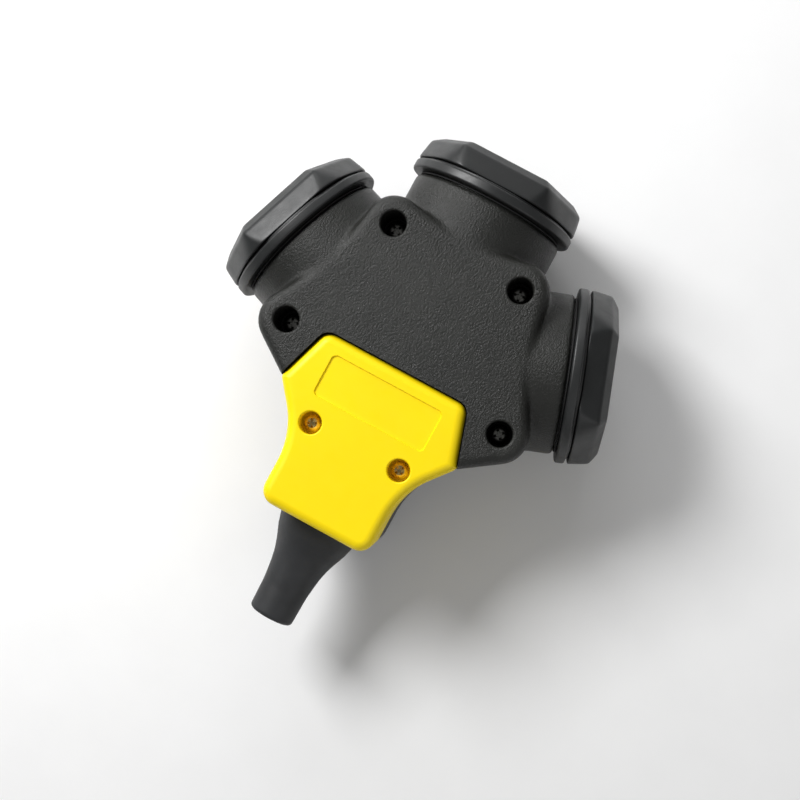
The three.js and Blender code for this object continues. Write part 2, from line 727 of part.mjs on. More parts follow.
bossCentres.forEach(([x, y], i) => {
  const made = screw(x, y, headSeat, housingScrew, screwTip - housingHoleDepth);
  socketBox.add(node(`housing_screw_${i + 1}`, made, blackenedSteel));
});
[-coverScrewX, coverScrewX].forEach((x, i) => {
  const made = screw(x, coverScrewY, coverSeat, coverScrew, screwTip - holeDepth);
  socketBox.add(node(`cover_screw_${i + 1}`, made, brassPlate));
});
[-clampPostX, clampPostX].forEach((x, i) => {
  const made = screw(x, clampY, clampTop, clampScrew, screwTip - holeDepth);
  socketBox.add(node(`clamp_screw_${i + 1}`, made, brightSteel));
});
terminals.forEach((x, i) => {
  const seat = blockHeight / 2 - terminalSeat;
  const made = screw(x, blockY, seat, terminalScrew, seat - screwTip);
  socketBox.add(node(`terminal_screw_${i + 1}`, made, brightSteel));
});

['left', 'middle', 'right'].forEach((name, i) => {
  const socket = new THREE.Group();
  socket.position.set(...compass(fans[i], reaches[i]), 0);
  socket.rotation.z = -rad(fans[i]);
  socket.add(
    node(`collar_${name}`, collar(), collarBlack),
    node(`collar_seal_${name}`, collarSeal(), sealBlack),
    node(`lid_${name}`, lid(), lidBlack),
    node(`lid_gasket_${name}`, lidGasket(), sealBlack),
    node(`hinge_pin_${name}`, hingePin(), brightSteel),
    node(`hinge_spring_${name}`, hingeSpring(), brightSteel),
    node(`socket_insert_${name}`, socketInsert(), insertGrey),
    node(`earth_clip_${name}`, earthClip(), brightSteel),
    node(`live_contact_${name}`, contact(1), brassPlate),
    node(`neutral_contact_${name}`, contact(-1), brassPlate),
  );
  socketBox.add(socket);
});

export default part;
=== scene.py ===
"""A hand-held three-way socket box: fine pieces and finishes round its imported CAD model.

Everything is in metres in the CAD frame: +Z is the front, +Y the middle socket. Each socket has
a frame of its own, in which Y runs out along the socket's axis from the mouth of its barrel.
"""
import math

import bmesh
import bpy
from mathutils import Matrix, Vector


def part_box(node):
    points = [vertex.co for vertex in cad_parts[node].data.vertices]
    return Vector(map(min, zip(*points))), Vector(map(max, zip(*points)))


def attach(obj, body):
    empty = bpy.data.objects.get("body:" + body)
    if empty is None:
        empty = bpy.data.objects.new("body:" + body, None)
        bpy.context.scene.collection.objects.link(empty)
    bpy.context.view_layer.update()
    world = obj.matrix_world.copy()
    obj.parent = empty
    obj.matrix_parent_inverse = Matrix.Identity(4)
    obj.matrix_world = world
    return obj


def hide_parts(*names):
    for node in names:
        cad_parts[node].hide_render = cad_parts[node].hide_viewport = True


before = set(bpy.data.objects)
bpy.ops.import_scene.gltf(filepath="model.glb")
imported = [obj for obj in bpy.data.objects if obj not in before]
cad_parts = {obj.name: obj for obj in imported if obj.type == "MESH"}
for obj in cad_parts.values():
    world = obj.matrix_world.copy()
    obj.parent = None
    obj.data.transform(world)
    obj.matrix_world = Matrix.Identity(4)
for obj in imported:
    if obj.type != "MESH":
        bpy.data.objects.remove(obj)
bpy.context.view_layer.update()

bl_info = {
    "name": "Three-way Socket Box",
    "version": (1, 0, 0),
    "blender": (4, 5, 0),
    "location": "View3D > Sidebar > Socket Box",
    "description": "Builds the fine pieces and finishes of a hand-held three-way socket box",
    "category": "Object",
}

# ------------------------------------------------------------------ sizes from the frame

MM = 0.001
FAR = 300 * MM  # beyond every piece
GAP = 0.3 * MM  # between pieces that touch
SEAM = 0.4 * MM  # gap round the cable cover and round the lip in a lid
WALL = 2.5 * MM
SIDES = ("left", "middle", "right")


def middle(node):
    """Middle of a CAD node's box."""
    low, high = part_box(node)
    return (low + high) / 2


def half_width(node):
    """Half of a CAD node's size along X."""
    low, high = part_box(node)
    return (high.x - low.x) / 2


AXIS = middle("collar_seal_middle").z
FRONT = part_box("front_housing")[1].z
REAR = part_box("rear_housing")[0].z
MIDDLE_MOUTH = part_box("collar_seal_middle")[0].y - GAP
PIN_ALONG = middle("hinge_pin_middle").y - MIDDLE_MOUTH
PIN_DROP = AXIS - middle("hinge_pin_middle").z
COLLAR_RADIUS = half_width("collar_middle")
LID_RADIUS = half_width("lid_middle")
BARREL_RADIUS = COLLAR_RADIUS - 2.7 * MM
BORE_RADIUS = BARREL_RADIUS - WALL
SPIGOT_RADIUS = BORE_RADIUS - GAP
INSERT_RADIUS = SPIGOT_RADIUS - 3.7 * MM
RECESS_RADIUS = INSERT_RADIUS - 2.3 * MM
LIP_RADIUS = BARREL_RADIUS - 1.6 * MM
STEP_RADIUS = BARREL_RADIUS + 0.8 * MM
LIP_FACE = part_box("lid_gasket_middle")[0].y - MIDDLE_MOUTH - 2 * GAP
LID_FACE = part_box("lid_middle")[1].y - MIDDLE_MOUTH
COLLAR_BACK = 1.1 * MM
COLLAR_FACE = COLLAR_BACK + 3.6 * MM
STEP_FACE = COLLAR_FACE + 0.8 * MM
LID_BASE = STEP_FACE + GAP
INSERT_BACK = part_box("socket_insert_middle")[0].y - MIDDLE_MOUTH
RECESS_FLOOR = INSERT_BACK + 2.8 * MM
FLANGE_BACK = -5 * MM
FLANGE_FACE = FLANGE_BACK + 2.7 * MM
HEAD_SEAT = FRONT - 20 * MM
COVER_SEAT = FRONT - 8 * MM
BAR_HEIGHT = AXIS + 12 * MM  # top of the way for the bus bars
BLEND_MARGIN = 5 * MM  # kept past the parting line while a skin is blended
HANDLE_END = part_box("rear_housing")[0].y
SLEEVE_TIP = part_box("cable_sleeve")[0].y
CABLE_RADIUS = 6.2 * MM
LID_SIDES = 288
LID_TAPER, LID_DRAFT = 6.5, 22  # degrees, of a lid's round side and of its flats
FRONT_FLAT_INSET, SIDE_FLAT_INSET = 7.1 * MM, 5.2 * MM  # at the lid's face
BOSS_RADIUS = 10.3 * MM
COLUMN_RADIUS = 6.3 * MM  # round the housing screws
KNUCKLE_RADIUS = 2.5 * MM
PIN_RADIUS = 1.25 * MM
PIN_BORE = PIN_RADIUS + GAP
LID_KNUCKLE = (3.2 * MM, 6.8 * MM)  # along the pin from its middle
COLLAR_KNUCKLE = (7.1 * MM, 10.6 * MM)
POLE_OFFSET = 9.5 * MM
CLIP_OFFSET = 19.2 * MM
GASKET_DEPTH = 1.6 * MM
HOUSING_SHANK, COVER_SHANK, CLAMP_SHANK = 2.1 * MM, 2 * MM, 1.6 * MM  # holes for the screws
COVER_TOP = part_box("cable_cover")[1].y
SHOULDER_X = half_width("cable_cover")
SHOULDER_Y = COVER_TOP - 21 * MM
LABEL_Y = COVER_TOP - 13.65 * MM


def socket_place(side):
    """(angle of the socket's axis from +Y towards +X, distance of its barrel's mouth)."""
    pin = middle(f"hinge_pin_{side}")
    return math.atan2(pin.x, pin.y), math.hypot(pin.x, pin.y) - PIN_ALONG


def socket_matrix(side):
    """From a socket's own frame to the box's frame."""
    angle, reach = socket_place(side)
    mouth = Vector((reach * math.sin(angle), reach * math.cos(angle), AXIS))
    return Matrix.Translation(mouth) @ Matrix.Rotation(-angle, 4, "Z")


BOSSES = [middle(f"housing_screw_{i}").xy for i in (1, 2, 3, 4)]
COVER_SCREWS = [middle(f"cover_screw_{i}").xy for i in (1, 2)]

# ------------------------------------------------------------------ mesh helpers


def compass(angle, reach):
    return Vector((reach * math.sin(angle), reach * math.cos(angle)))


def rounded(corners, grow=0.0, steps=6):
    """Points of a closed, counterclockwise polygon of (x, y, radius) corners, offset by grow."""
    count = len(corners)
    normals = []
    for i, (x, y, _) in enumerate(corners):
        after = corners[(i + 1) % count]
        side = Vector((after[0] - x, after[1] - y)).normalized()
        normals.append(Vector((side.y, -side.x)))
    points = []
    for i, (x, y, radius) in enumerate(corners):
        before, after = normals[i - 1], normals[i]
        out = (before + after) / (1 + before.dot(after))
        side = math.copysign(1, before.x * after.y - before.y * after.x)
        bend = max(radius + side * grow, 0.05 * MM) * side
        centre = Vector((x, y)) + out * (grow - bend)
        start = math.atan2(before.y, before.x)
        turn = side * math.acos(max(-1, min(1, before.dot(after))))
        for k in range(steps + 1):
            angle = start + turn * k / steps
            points.append(centre + bend * Vector((math.cos(angle), math.sin(angle))))
    return points


def stacked(rings):
    """A closed solid through rings of equally many points, each extruded from the one before."""
    bm = bmesh.new()
    ring = [bm.verts.new(p) for p in rings[0]]
    bm.faces.new(ring)
    for points in rings[1:]:
        edges = [bm.edges.get((a, b)) for a, b in zip(ring, ring[1:] + ring[:1])]
        made = bmesh.ops.extrude_edge_only(bm, edges=edges)["geom"]
        fresh = {v for v in made if isinstance(v, bmesh.types.BMVert)}
        ring = [next(o for o in (e.other_vert(v) for e in v.link_edges) if o in fresh) for v in ring]
        for v, p in zip(ring, points):
            v.co = p
    bm.faces.new(ring)
    bmesh.ops.recalc_face_normals(bm, faces=bm.faces)
    return bm


def quarter(steps):
    """Angles of a quarter turn."""
    return [math.pi / 2 * k / steps for k in range(steps + 1)]


def slab(outline, low, high, top=0.0, bottom=0.0, steps=6):
    """A slab between two heights with rounded upper and lower rims. outline is a function of growth."""
    levels = []
    turn = quarter(steps)
    if bottom:
        levels += [(low + bottom * (1 - math.cos(t)), bottom * (math.sin(t) - 1)) for t in turn]
    else:
        levels.append((low, 0))
    if top:
        levels += [(high - top * (1 - math.sin(t)), top * (math.cos(t) - 1)) for t in turn]
    else:
        levels.append((high, 0))
    return stacked([[Vector((p.x, p.y, z)) for p in outline(grow)] for z, grow in levels])


def turned(profile, steps=96):
    """A closed profile of (radius, place along the axis) spun about the Y axis."""
    bm = bmesh.new()
    verts = [bm.verts.new((r, s, 0)) for r, s in profile]
    edges = [bm.edges.new((a, b)) for a, b in zip(verts, verts[1:] + verts[:1]) if a is not b]
    bmesh.ops.spin(bm, geom=verts + edges, cent=(0, 0, 0), axis=(0, 1, 0), dvec=(0, 0, 0),
                   angle=2 * math.pi, steps=steps, use_merge=True, use_duplicate=False)
    bmesh.ops.remove_doubles(bm, verts=bm.verts, dist=1e-7)
    thin = [f for f in bm.faces if f.calc_area() < 1e-13]
    bmesh.ops.delete(bm, geom=thin, context="FACES")
    bmesh.ops.dissolve_degenerate(bm, edges=bm.edges, dist=1e-7)
    wires = [e for e in bm.edges if not e.link_faces]
    bmesh.ops.delete(bm, geom=wires, context="EDGES")
    bmesh.ops.recalc_face_normals(bm, faces=bm.faces)
    return bm


def ring_of(corners, steps=96, fillet=3):
    """A turned ring whose profile is (radius, along, fillet) corners."""
    return turned([(p.x, p.y) for p in rounded(corners, steps=fillet)], steps)


def upright(bm, x, y):
    """Turns a piece from the Y axis to stand along Z at a place."""
    turn = Matrix.Translation((x, y, 0)) @ Matrix.Rotation(math.pi / 2, 4, "X")
    bmesh.ops.transform(bm, matrix=turn, verts=bm.verts)
    return bm


def cylinder(radius, length, steps):
    bm = bmesh.new()
    bmesh.ops.create_cone(bm, cap_ends=True, segments=steps, radius1=radius, radius2=radius, depth=length)
    return bm


def bevelled(bm, edges, offset):
    bmesh.ops.bevel(bm, geom=edges, offset=offset, segments=3, profile=0.5, affect="EDGES", material=-1)


def post(radius, low, high, x, y, steps=40):
    """A cylinder along Z."""
    bm = cylinder(radius, high - low, steps)
    bmesh.ops.translate(bm, verts=bm.verts, vec=(x, y, (low + high) / 2))
    return bm


def rod(radius, low, high, y, z, steps=32, rim=0.0):
    """A cylinder along X with a bevelled rim, for everything on a hinge."""
    bm = cylinder(radius, high - low, steps)
    if rim:
        ends = [e for e in bm.edges if all(abs(abs(v.co.z) - (high - low) / 2) < 1e-7 for v in e.verts)]
        bevelled(bm, ends, rim)
    place = Matrix.Translation(((low + high) / 2, y, z)) @ Matrix.Rotation(math.pi / 2, 4, "Y")
    bmesh.ops.transform(bm, matrix=place, verts=bm.verts)
    return bm


def block(x, y, z):
    """A box between (low, high) pairs."""
    bm = bmesh.new()
    bmesh.ops.create_cube(bm, size=1)
    size = [high - low for low, high in (x, y, z)]
    bmesh.ops.scale(bm, vec=size, verts=bm.verts)
    bmesh.ops.translate(bm, vec=[(low + high) / 2 for low, high in (x, y, z)], verts=bm.verts)
    return bm


def well(radius, floor, top, lip, x, y):
    """The tool that sinks a screw's well, with a rounded lip at its mouth."""
    profile = [(0, floor), (radius, floor)]
    for t in quarter(5):
        profile.append((radius + lip * (1 - math.cos(t)), top - lip * (1 - math.sin(t))))
    profile += [(radius + lip, top + MM), (0, top + MM)]
    return upright(turned(profile, 48), x, y)


def joined(pieces):
    """Several separate solids as one mesh."""
    whole = bmesh.new()
    for bm in pieces:
        mesh = bpy.data.meshes.new("part")
        bm.to_mesh(mesh)
        bm.free()
        whole.from_mesh(mesh)
        bpy.data.meshes.remove(mesh)
    return whole


def copy_of(bm, matrix=None):
    """A copy of a mesh, moved by a matrix."""
    twin = bm.copy()
    if matrix is not None:
        bmesh.ops.transform(twin, matrix=matrix, verts=twin.verts)
    return twin


def carved(base, *steps):
    """Joins, cuts or crosses solids: each step is ("UNION" | "DIFFERENCE" | "INTERSECT", solid)."""
    def loose(bm, name):
        mesh = bpy.data.meshes.new(name)
        bm.to_mesh(mesh)
        bm.free()
        obj = bpy.data.objects.new(name, mesh)
        bpy.context.scene.collection.objects.link(obj)
        return obj

    body = loose(base, "body")
    tools = []
    for operation, tool in steps:
        modifier = body.modifiers.new(operation, "BOOLEAN")
        modifier.operation = operation
        modifier.solver = "MANIFOLD"
        modifier.object = loose(tool, "tool")
        tools.append(modifier.object)
    depsgraph = bpy.context.evaluated_depsgraph_get()
    mesh = bpy.data.meshes.new_from_object(body.evaluated_get(depsgraph))
    result = bmesh.new()
    result.from_mesh(mesh)
    bpy.data.meshes.remove(mesh)
    for obj in [body, *tools]:
        spare = obj.data
        bpy.data.objects.remove(obj)
        bpy.data.meshes.remove(spare)
    bmesh.ops.remove_doubles(result, verts=result.verts, dist=0.001 * MM)
    return result


def united(first, *others):
    return carved(first, *[("UNION", other) for other in others])


def blended(bm, voxel, passes):
    """The same solid in even, fine faces, with its edges and inner corners softened."""
    mesh = bpy.data.meshes.new("blend")
    bm.to_mesh(mesh)
    bm.free()
    obj = bpy.data.objects.new("blend", mesh)
    bpy.context.scene.collection.objects.link(obj)
    remesh = obj.modifiers.new("remesh", "REMESH")
    remesh.mode = "VOXEL"
    remesh.voxel_size = voxel
    smooth = obj.modifiers.new("smooth", "SMOOTH")
    smooth.factor = 0.5
    smooth.iterations = passes
    fine = bpy.data.meshes.new_from_object(obj.evaluated_get(bpy.context.evaluated_depsgraph_get()))
    result = bmesh.new()
    result.from_mesh(fine)
    bpy.data.objects.remove(obj)
    bpy.data.meshes.remove(mesh)
    bpy.data.meshes.remove(fine)
    return result


def add_piece(bm, node, material, body="box", name=""):
    """Makes a finished piece of a mesh: shaded, coloured, riding on its body in place of a CAD node."""
    name = f"{name or node}_fine"
    mesh = bpy.data.meshes.new(name)
    bm.to_mesh(mesh)
    bm.free()
    mesh.shade_smooth()
    mesh.set_sharp_from_angle(angle=math.radians(32))
    mesh.materials.append(material)
    obj = bpy.data.objects.new(name, mesh)
    bpy.context.scene.collection.objects.link(obj)
    shading = obj.modifiers.new("shading", "WEIGHTED_NORMAL")
    shading.keep_sharp = True
    shading.weight = 80
    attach(obj, body)
    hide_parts(node)


def paint(nodes, material):
    """Gives carried-over CAD nodes a finish."""
    for name in nodes:
        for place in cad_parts[name].material_slots:
            place.material = material


# ------------------------------------------------------------------ outlines


def handle_outline(grow):
    """The cable cover and the handle behind it."""
    right = [
        (21.5 * MM, HANDLE_END, 5.5 * MM),
        (21.5 * MM, SHOULDER_Y - 16.1 * MM, 30 * MM),
        (SHOULDER_X, SHOULDER_Y, 2 * MM),
        (SHOULDER_X - 6.8 * MM, COVER_TOP, 4.5 * MM),
    ]
    left = [(-x, y, radius) for x, y, radius in reversed(right)]
    return rounded(right + left, grow, steps=10)


def hub_outline(grow):
    """An arc round each boss and a shallow hollow across each barrel between them."""
    fans = [socket_place(side)[0] for side in SIDES]
    tilt, tail = math.radians(12), math.radians(145)
    dip = BOSSES[0].length - 2.5 * MM
    arc_steps, hollow_steps = 16, 12
    points = []
    for i, centre in enumerate(BOSSES):
        first = -tail if i == 0 else fans[i - 1] - tilt
        last = tail if i == 3 else fans[i] + tilt
        for k in range(arc_steps + 1):
            points.append(centre + compass(first + (last - first) * k / arc_steps, BOSS_RADIUS + grow))
        if i == 3:
            continue
        start, end = points[-1], BOSSES[i + 1] + compass(fans[i] - tilt, BOSS_RADIUS + grow)
        control = compass(fans[i], dip + grow)
        for k in range(1, hollow_steps):
            t = k / hollow_steps
            points.append(start * (1 - t) ** 2 + control * (2 * t * (1 - t)) + end * t * t)
    run = (points[-1].y - SHOULDER_Y) / math.sin(tail)
    foot = points[-1].x + math.cos(tail) * run
    points += [Vector((foot, SHOULDER_Y)), Vector((-foot, SHOULDER_Y))]
    return points[::-1]


def panel_outline(x, y, place, grow):
    """A rounded panel of half sizes x and y whose middle is at y = place."""
    radius = 2.5 * MM
    low, high = place - y, place + y
    corners = [(x, low, radius), (x, high, radius), (-x, high, radius), (-x, low, radius)]
    return rounded(corners, grow, steps=8)


def label_outline(grow):
    return panel_outline(21.7 * MM, 8.3 * MM, LABEL_Y, grow)


def rear_panel_outline(grow):
    return panel_outline(24 * MM, 13 * MM, SHOULDER_Y + 26 * MM, grow)


# ------------------------------------------------------------------ finishes


class Finish:
    """A procedural material: a Principled shader and the nodes that feed it, on Object coordinates."""

    def __init__(self, name, roughness, metallic=0.0, **sockets):
        self.material = bpy.data.materials.new(name)
        self.material.use_nodes = True
        self.tree = self.material.node_tree
        self.shader = self.tree.nodes["Principled BSDF"]
        self.shader.inputs["Roughness"].default_value = roughness
        self.shader.inputs["Metallic"].default_value = metallic
        for socket, value in sockets.items():
            self.shader.inputs[socket].default_value = value
        self.place = self.add("ShaderNodeTexCoord").outputs["Object"]

    def add(self, kind, **settings):
        node = self.tree.nodes.new(kind)
        for name, value in settings.items():
            setattr(node, name, value)
        return node

    def join(self, source, target):
        self.tree.links.new(source, target)

    def stretched(self, scale):
        """The Object coordinates squeezed along each axis."""
        mapping = self.add("ShaderNodeMapping")
        mapping.inputs["Scale"].default_value = scale
        self.join(self.place, mapping.inputs["Vector"])
        return mapping.outputs["Vector"]

    def noise(self, size, detail=3.0, roughness=0.55, place=None):
        """Noise whose lumps are about size metres across."""
        node = self.add("ShaderNodeTexNoise")
        node.inputs["Scale"].default_value = 1 / size
        node.inputs["Detail"].default_value = detail
        node.inputs["Roughness"].default_value = roughness
        self.join(place or self.place, node.inputs["Vector"])
        return node.outputs["Fac"]

    def cells(self, size, place=None):
        """Rounded cells about size metres across."""
        node = self.add("ShaderNodeTexVoronoi", feature="SMOOTH_F1")
        node.inputs["Scale"].default_value = 1 / size
        node.inputs["Smoothness"].default_value = 0.6
        self.join(place or self.place, node.inputs["Vector"])
        return node.outputs["Distance"]

    def ranged(self, value, low, high, to_low, to_high):
        node = self.add("ShaderNodeMapRange")
        for name, number in zip(("From Min", "From Max", "To Min", "To Max"), (low, high, to_low, to_high)):
            node.inputs[name].default_value = number
        self.join(value, node.inputs["Value"])
        return node.outputs["Result"]

    def summed(self, first, second):
        node = self.add("ShaderNodeMath", operation="ADD")
        self.join(first, node.inputs[0])
        self.join(second, node.inputs[1])
        return node.outputs["Value"]

    def tinted(self, value, colour, spread, low=0.3):
        """The base colour, from darker to lighter by spread as value goes from low to 1 - low."""
        node = self.add("ShaderNodeMix", data_type="RGBA")
        for place, factor in ((6, 1 - spread), (7, 1 + spread)):
            node.inputs[place].default_value = (*[min(1.0, c * factor) for c in colour], 1)
        self.join(self.ranged(value, low, 1 - low, 0, 1), node.inputs[0])
        self.join(node.outputs[2], self.shader.inputs["Base Color"])

    def roughened(self, value, low, high):
        """Roughness from low to high as value goes from 0.3 to 0.7."""
        self.join(self.ranged(value, 0.3, 0.7, low, high), self.shader.inputs["Roughness"])

    def bumped(self, height, depth):
        """Bump whose full range of height is depth metres."""
        node = self.add("ShaderNodeBump")
        node.inputs["Strength"].default_value = 1.0
        node.inputs["Distance"].default_value = depth
        self.join(height, node.inputs["Height"])
        self.join(node.outputs["Normal"], self.shader.inputs["Normal"])


def grained_plastic(name, colour, roughness, grain, depth, spread=0.25, specular=0.42):
    """Moulded plastic with a spark-eroded grain, faint flow marks and uneven gloss."""
    finish = Finish(name, roughness, **{"Specular IOR Level": specular})
    cells = finish.cells(grain, finish.stretched((1.0, 0.72, 1.0)))
    fine = finish.noise(grain * 0.45, detail=4)
    height = finish.summed(finish.ranged(cells, 0, 0.7, 0, 0.7), finish.ranged(fine, 0.3, 0.7, 0, 0.45))
    finish.bumped(height, depth)
    finish.tinted(finish.noise(18 * MM, detail=5, roughness=0.6), colour, spread)
    smears = finish.noise(6 * MM, detail=6, roughness=0.65)
    finish.roughened(smears, roughness - 0.05, roughness + 0.07)
    return finish.material


def satin_plastic(name, colour, roughness, depth, spread=0.08, specular=0.5):
    """Smooth moulded plastic with a fine satin texture and faint scuffs."""
    finish = Finish(name, roughness, **{"Specular IOR Level": specular})
    fine = finish.noise(0.5 * MM, detail=3)
    scuffs = finish.noise(1.2 * MM, detail=5, place=finish.stretched((0.25, 1.0, 1.0)))
    finish.bumped(finish.summed(fine, finish.ranged(scuffs, 0.35, 0.65, 0, 0.5)), depth)
    finish.tinted(finish.noise(25 * MM, detail=4), colour, spread)
    marks = finish.noise(4 * MM, detail=6, roughness=0.7)
    finish.roughened(marks, roughness - 0.05, roughness + 0.08)
    return finish.material


def metal(name, colour, roughness, spread=0.2):
    """Metal with turning marks and patches of tarnish."""
    finish = Finish(name, roughness, metallic=1.0)
    marks = finish.noise(0.25 * MM, detail=4, place=finish.stretched((0.3, 1.0, 1.0)))
    finish.bumped(marks, 0.004 * MM)
    tarnish = finish.noise(1.6 * MM, detail=5, roughness=0.65)
    finish.tinted(tarnish, colour, spread, low=0.35)
    finish.roughened(tarnish, roughness - 0.08, roughness + 0.12)
    return finish.material


# ------------------------------------------------------------------ settings


def length(name, description, default):
    return bpy.props.FloatProperty(name=name, description=description, default=default, min=0.0,
                                   precision=5, unit="LENGTH", subtype="DISTANCE")


def colour(name, description, default):
    return bpy.props.FloatVectorProperty(name=name, description=description, default=default,
                                         size=3, min=0.0, max=1.0, subtype="COLOR")


def share(name, description, default):
    return bpy.props.FloatProperty(name=name, description=description, default=default,
                                   min=0.0, max=1.0, subtype="FACTOR")


class HousingSettings(bpy.types.PropertyGroup):
    """Sizes and colours of the two housing shells."""
    edge_round: length("Edge rounding", "Radius of the long outer edges", 3.5 * MM)
    mouth_round: length("Mouth rounding", "Radius at the mouth of each barrel", 1.0 * MM)
    well_lip: length("Well lip", "Rounding at the mouths of the screw wells", 0.8 * MM)
    panel_depth: length("Rear panel depth", "Depth of the blank panel in the rear face", 0.4 * MM)
    mesh_size: length("Mesh size", "Width of a face of the blended outer skin", 0.7 * MM)
    softening: bpy.props.IntProperty(name="Softening", description="Smoothing passes over the outer skin",
                                     default=14, min=0, max=60)
    grain: length("Grain size", "Width of one cell of the moulded grain", 0.62 * MM)
    grain_depth: length("Grain depth", "Depth of the moulded grain", 0.17 * MM)
    colour: colour("Colour", "Colour of the housing plastic", (0.0115, 0.012, 0.0102))
    gloss: share("Roughness", "Roughness of the housing plastic", 0.4)


class CoverSettings(bpy.types.PropertyGroup):
    """Sizes and colour of the cable cover."""
    edge_round: length("Edge rounding", "Radius of the upper outer edge", 3.6 * MM)
    label_depth: length("Panel depth", "Depth of the blank label panel", 0.7 * MM)
    well_lip: length("Well lip", "Rounding at the mouths of the screw wells", 0.6 * MM)
    colour: colour("Colour", "Colour of the cover plastic", (0.97, 0.73, 0.003))
    gloss: share("Roughness", "Roughness of the cover plastic", 0.42)


class SocketSettings(bpy.types.PropertyGroup):
    """Sizes and colours of the collars, lids and what is inside them."""
    lid_edge: length("Lid edge", "Chamfer and rounding round the outer face of a lid", 3.0 * MM)
    ridge: length("Ridge softness", "Softness of the ridges beside a lid's front and rear flats", 0.25 * MM)
    corner: length("Corner softness", "Softness of the ridges beside a lid's four side flats", 0.8 * MM)
    collar_round: length("Collar rounding", "Radius of the collar's outer edges", 0.8 * MM)
    lid_colour: colour("Lid colour", "Colour of the lids", (0.0125, 0.0135, 0.0138))
    collar_colour: colour("Collar colour", "Colour of the collars", (0.0135, 0.0145, 0.0148))
    insert_colour: colour("Insert colour", "Colour of the socket inserts", (0.045, 0.046, 0.048))
    gloss: share("Roughness", "Roughness of the lids", 0.42)


class StageSettings(bpy.types.PropertyGroup):
    """The floor and the lights."""
    floor_colour: colour("Floor colour", "Colour of the plain floor", (0.93, 0.93, 0.93))
    key_power: bpy.props.FloatProperty(name="Key light", description="Power of the main light in watts",
                                       default=6.2, min=0.0, unit="POWER")
    edge_power: bpy.props.FloatProperty(name="Edge light", description="Power of the low light in watts",
                                        default=1.5, min=0.0, unit="POWER")
    fill_power: bpy.props.FloatProperty(name="Fill light", description="Power of the fill light in watts",
                                        default=1.2, min=0.0, unit="POWER")
    sky: share("Ambient light", "Strength of the even light from all round", 0.2)


# ------------------------------------------------------------------ housing


def barrels(radius, mouth_round=0.0, beyond=0.0):
    """The three barrels as solid plugs, from the hub's centre to their mouths or beyond."""
    plugs = []
    for side in SIDES:
        _, reach = socket_place(side)
        profile = [(0, -reach), (radius, -reach)]
        if mouth_round:
            profile += [(radius - mouth_round * (1 - math.cos(t)), mouth_round * (math.sin(t) - 1))
                        for t in quarter(5)]
        else:
            profile.append((radius, beyond))
        profile.append((0, beyond))
        plug = turned(profile, 128)
        bmesh.ops.transform(plug, matrix=socket_matrix(side), verts=plug.verts)
        plugs.append(plug)
    return plugs


def ribs():
    """The ring inside each barrel that backs the flange of its insert."""
    inner, outer = INSERT_RADIUS + GAP, BARREL_RADIUS - WALL / 2
    front = FLANGE_BACK - GAP
    back = front - 3 * MM
    rings = []
    for side in SIDES:
        ring = turned([(inner, back), (outer, back), (outer, front), (inner, front)])
        bmesh.ops.transform(ring, matrix=socket_matrix(side), verts=ring.verts)
        rings.append(ring)
    return rings


def half_space(low, high):
    """Everything between two heights."""
    return block((-FAR, FAR), (-FAR, FAR), (low, high))


def sleeve_mouth():
    """The way out of the handle for the sleeve."""
    radius, inside = 13.3 * MM, HANDLE_END + WALL + MM
    outside = HANDLE_END - MM
    mouth = turned([(0, outside), (radius, outside), (radius, inside), (0, inside)])
    bmesh.ops.translate(mouth, verts=mouth.verts, vec=(0, 0, AXIS))
    return mouth


def outer_skin(settings, plates, low, high):
    """The outside of a shell between two heights: plates and barrels blended into each other."""
    first, *others = plates + barrels(BARREL_RADIUS, settings.mouth_round)
    joins = [("UNION", other) for other in others]
    solid = carved(first, *joins, ("INTERSECT", half_space(low, high)))
    return blended(solid, settings.mesh_size, settings.softening)


def inner_space(low, high, *outlines):
    """The hollow of a shell: its outlines less the wall, and the bores of the barrels."""
    rooms = [slab(lambda grow, outline=outline: outline(grow - WALL), low, high) for outline in outlines]
    return united(*rooms, *barrels(BORE_RADIUS, beyond=2 * MM))


def front_shell(settings):
    """The front housing: hub plate, upper halves of the barrels, screw wells and the cover's opening."""
    split = AXIS + GAP / 2
    start = split - BLEND_MARGIN
    plate = slab(hub_outline, start, FRONT, top=settings.edge_round, steps=8)
    outer = outer_skin(settings, [plate], start, FRONT + MM)
    hollow = inner_space(start - MM, FRONT - WALL, hub_outline)
    columns = [post(COLUMN_RADIUS, start, FRONT - WALL / 2, *xy) for xy in BOSSES]
    curtain = slab(lambda grow: handle_outline(grow + SEAM + WALL), BAR_HEIGHT, FRONT - WALL / 2)
    keep = slab(lambda grow: hub_outline(grow - WALL / 2), start - MM, FRONT - WALL / 4)
    joins = [("UNION", column) for column in columns]
    added = carved(curtain, *joins, ("INTERSECT", keep), ("UNION", joined(ribs())))
    opening = slab(lambda grow: handle_outline(grow + SEAM), start - 2 * MM, FRONT + MM)
    wells = joined([well(4.5 * MM, HEAD_SEAT, FRONT, settings.well_lip, *xy) for xy in BOSSES])
    holes = joined([post(HOUSING_SHANK, start - 3 * MM, HEAD_SEAT + MM, *xy) for xy in BOSSES])
    below = half_space(-FAR, split)
    away = [("DIFFERENCE", tool) for tool in (opening, wells, holes, below)]
    return carved(outer, ("DIFFERENCE", hollow), ("UNION", added), *away)


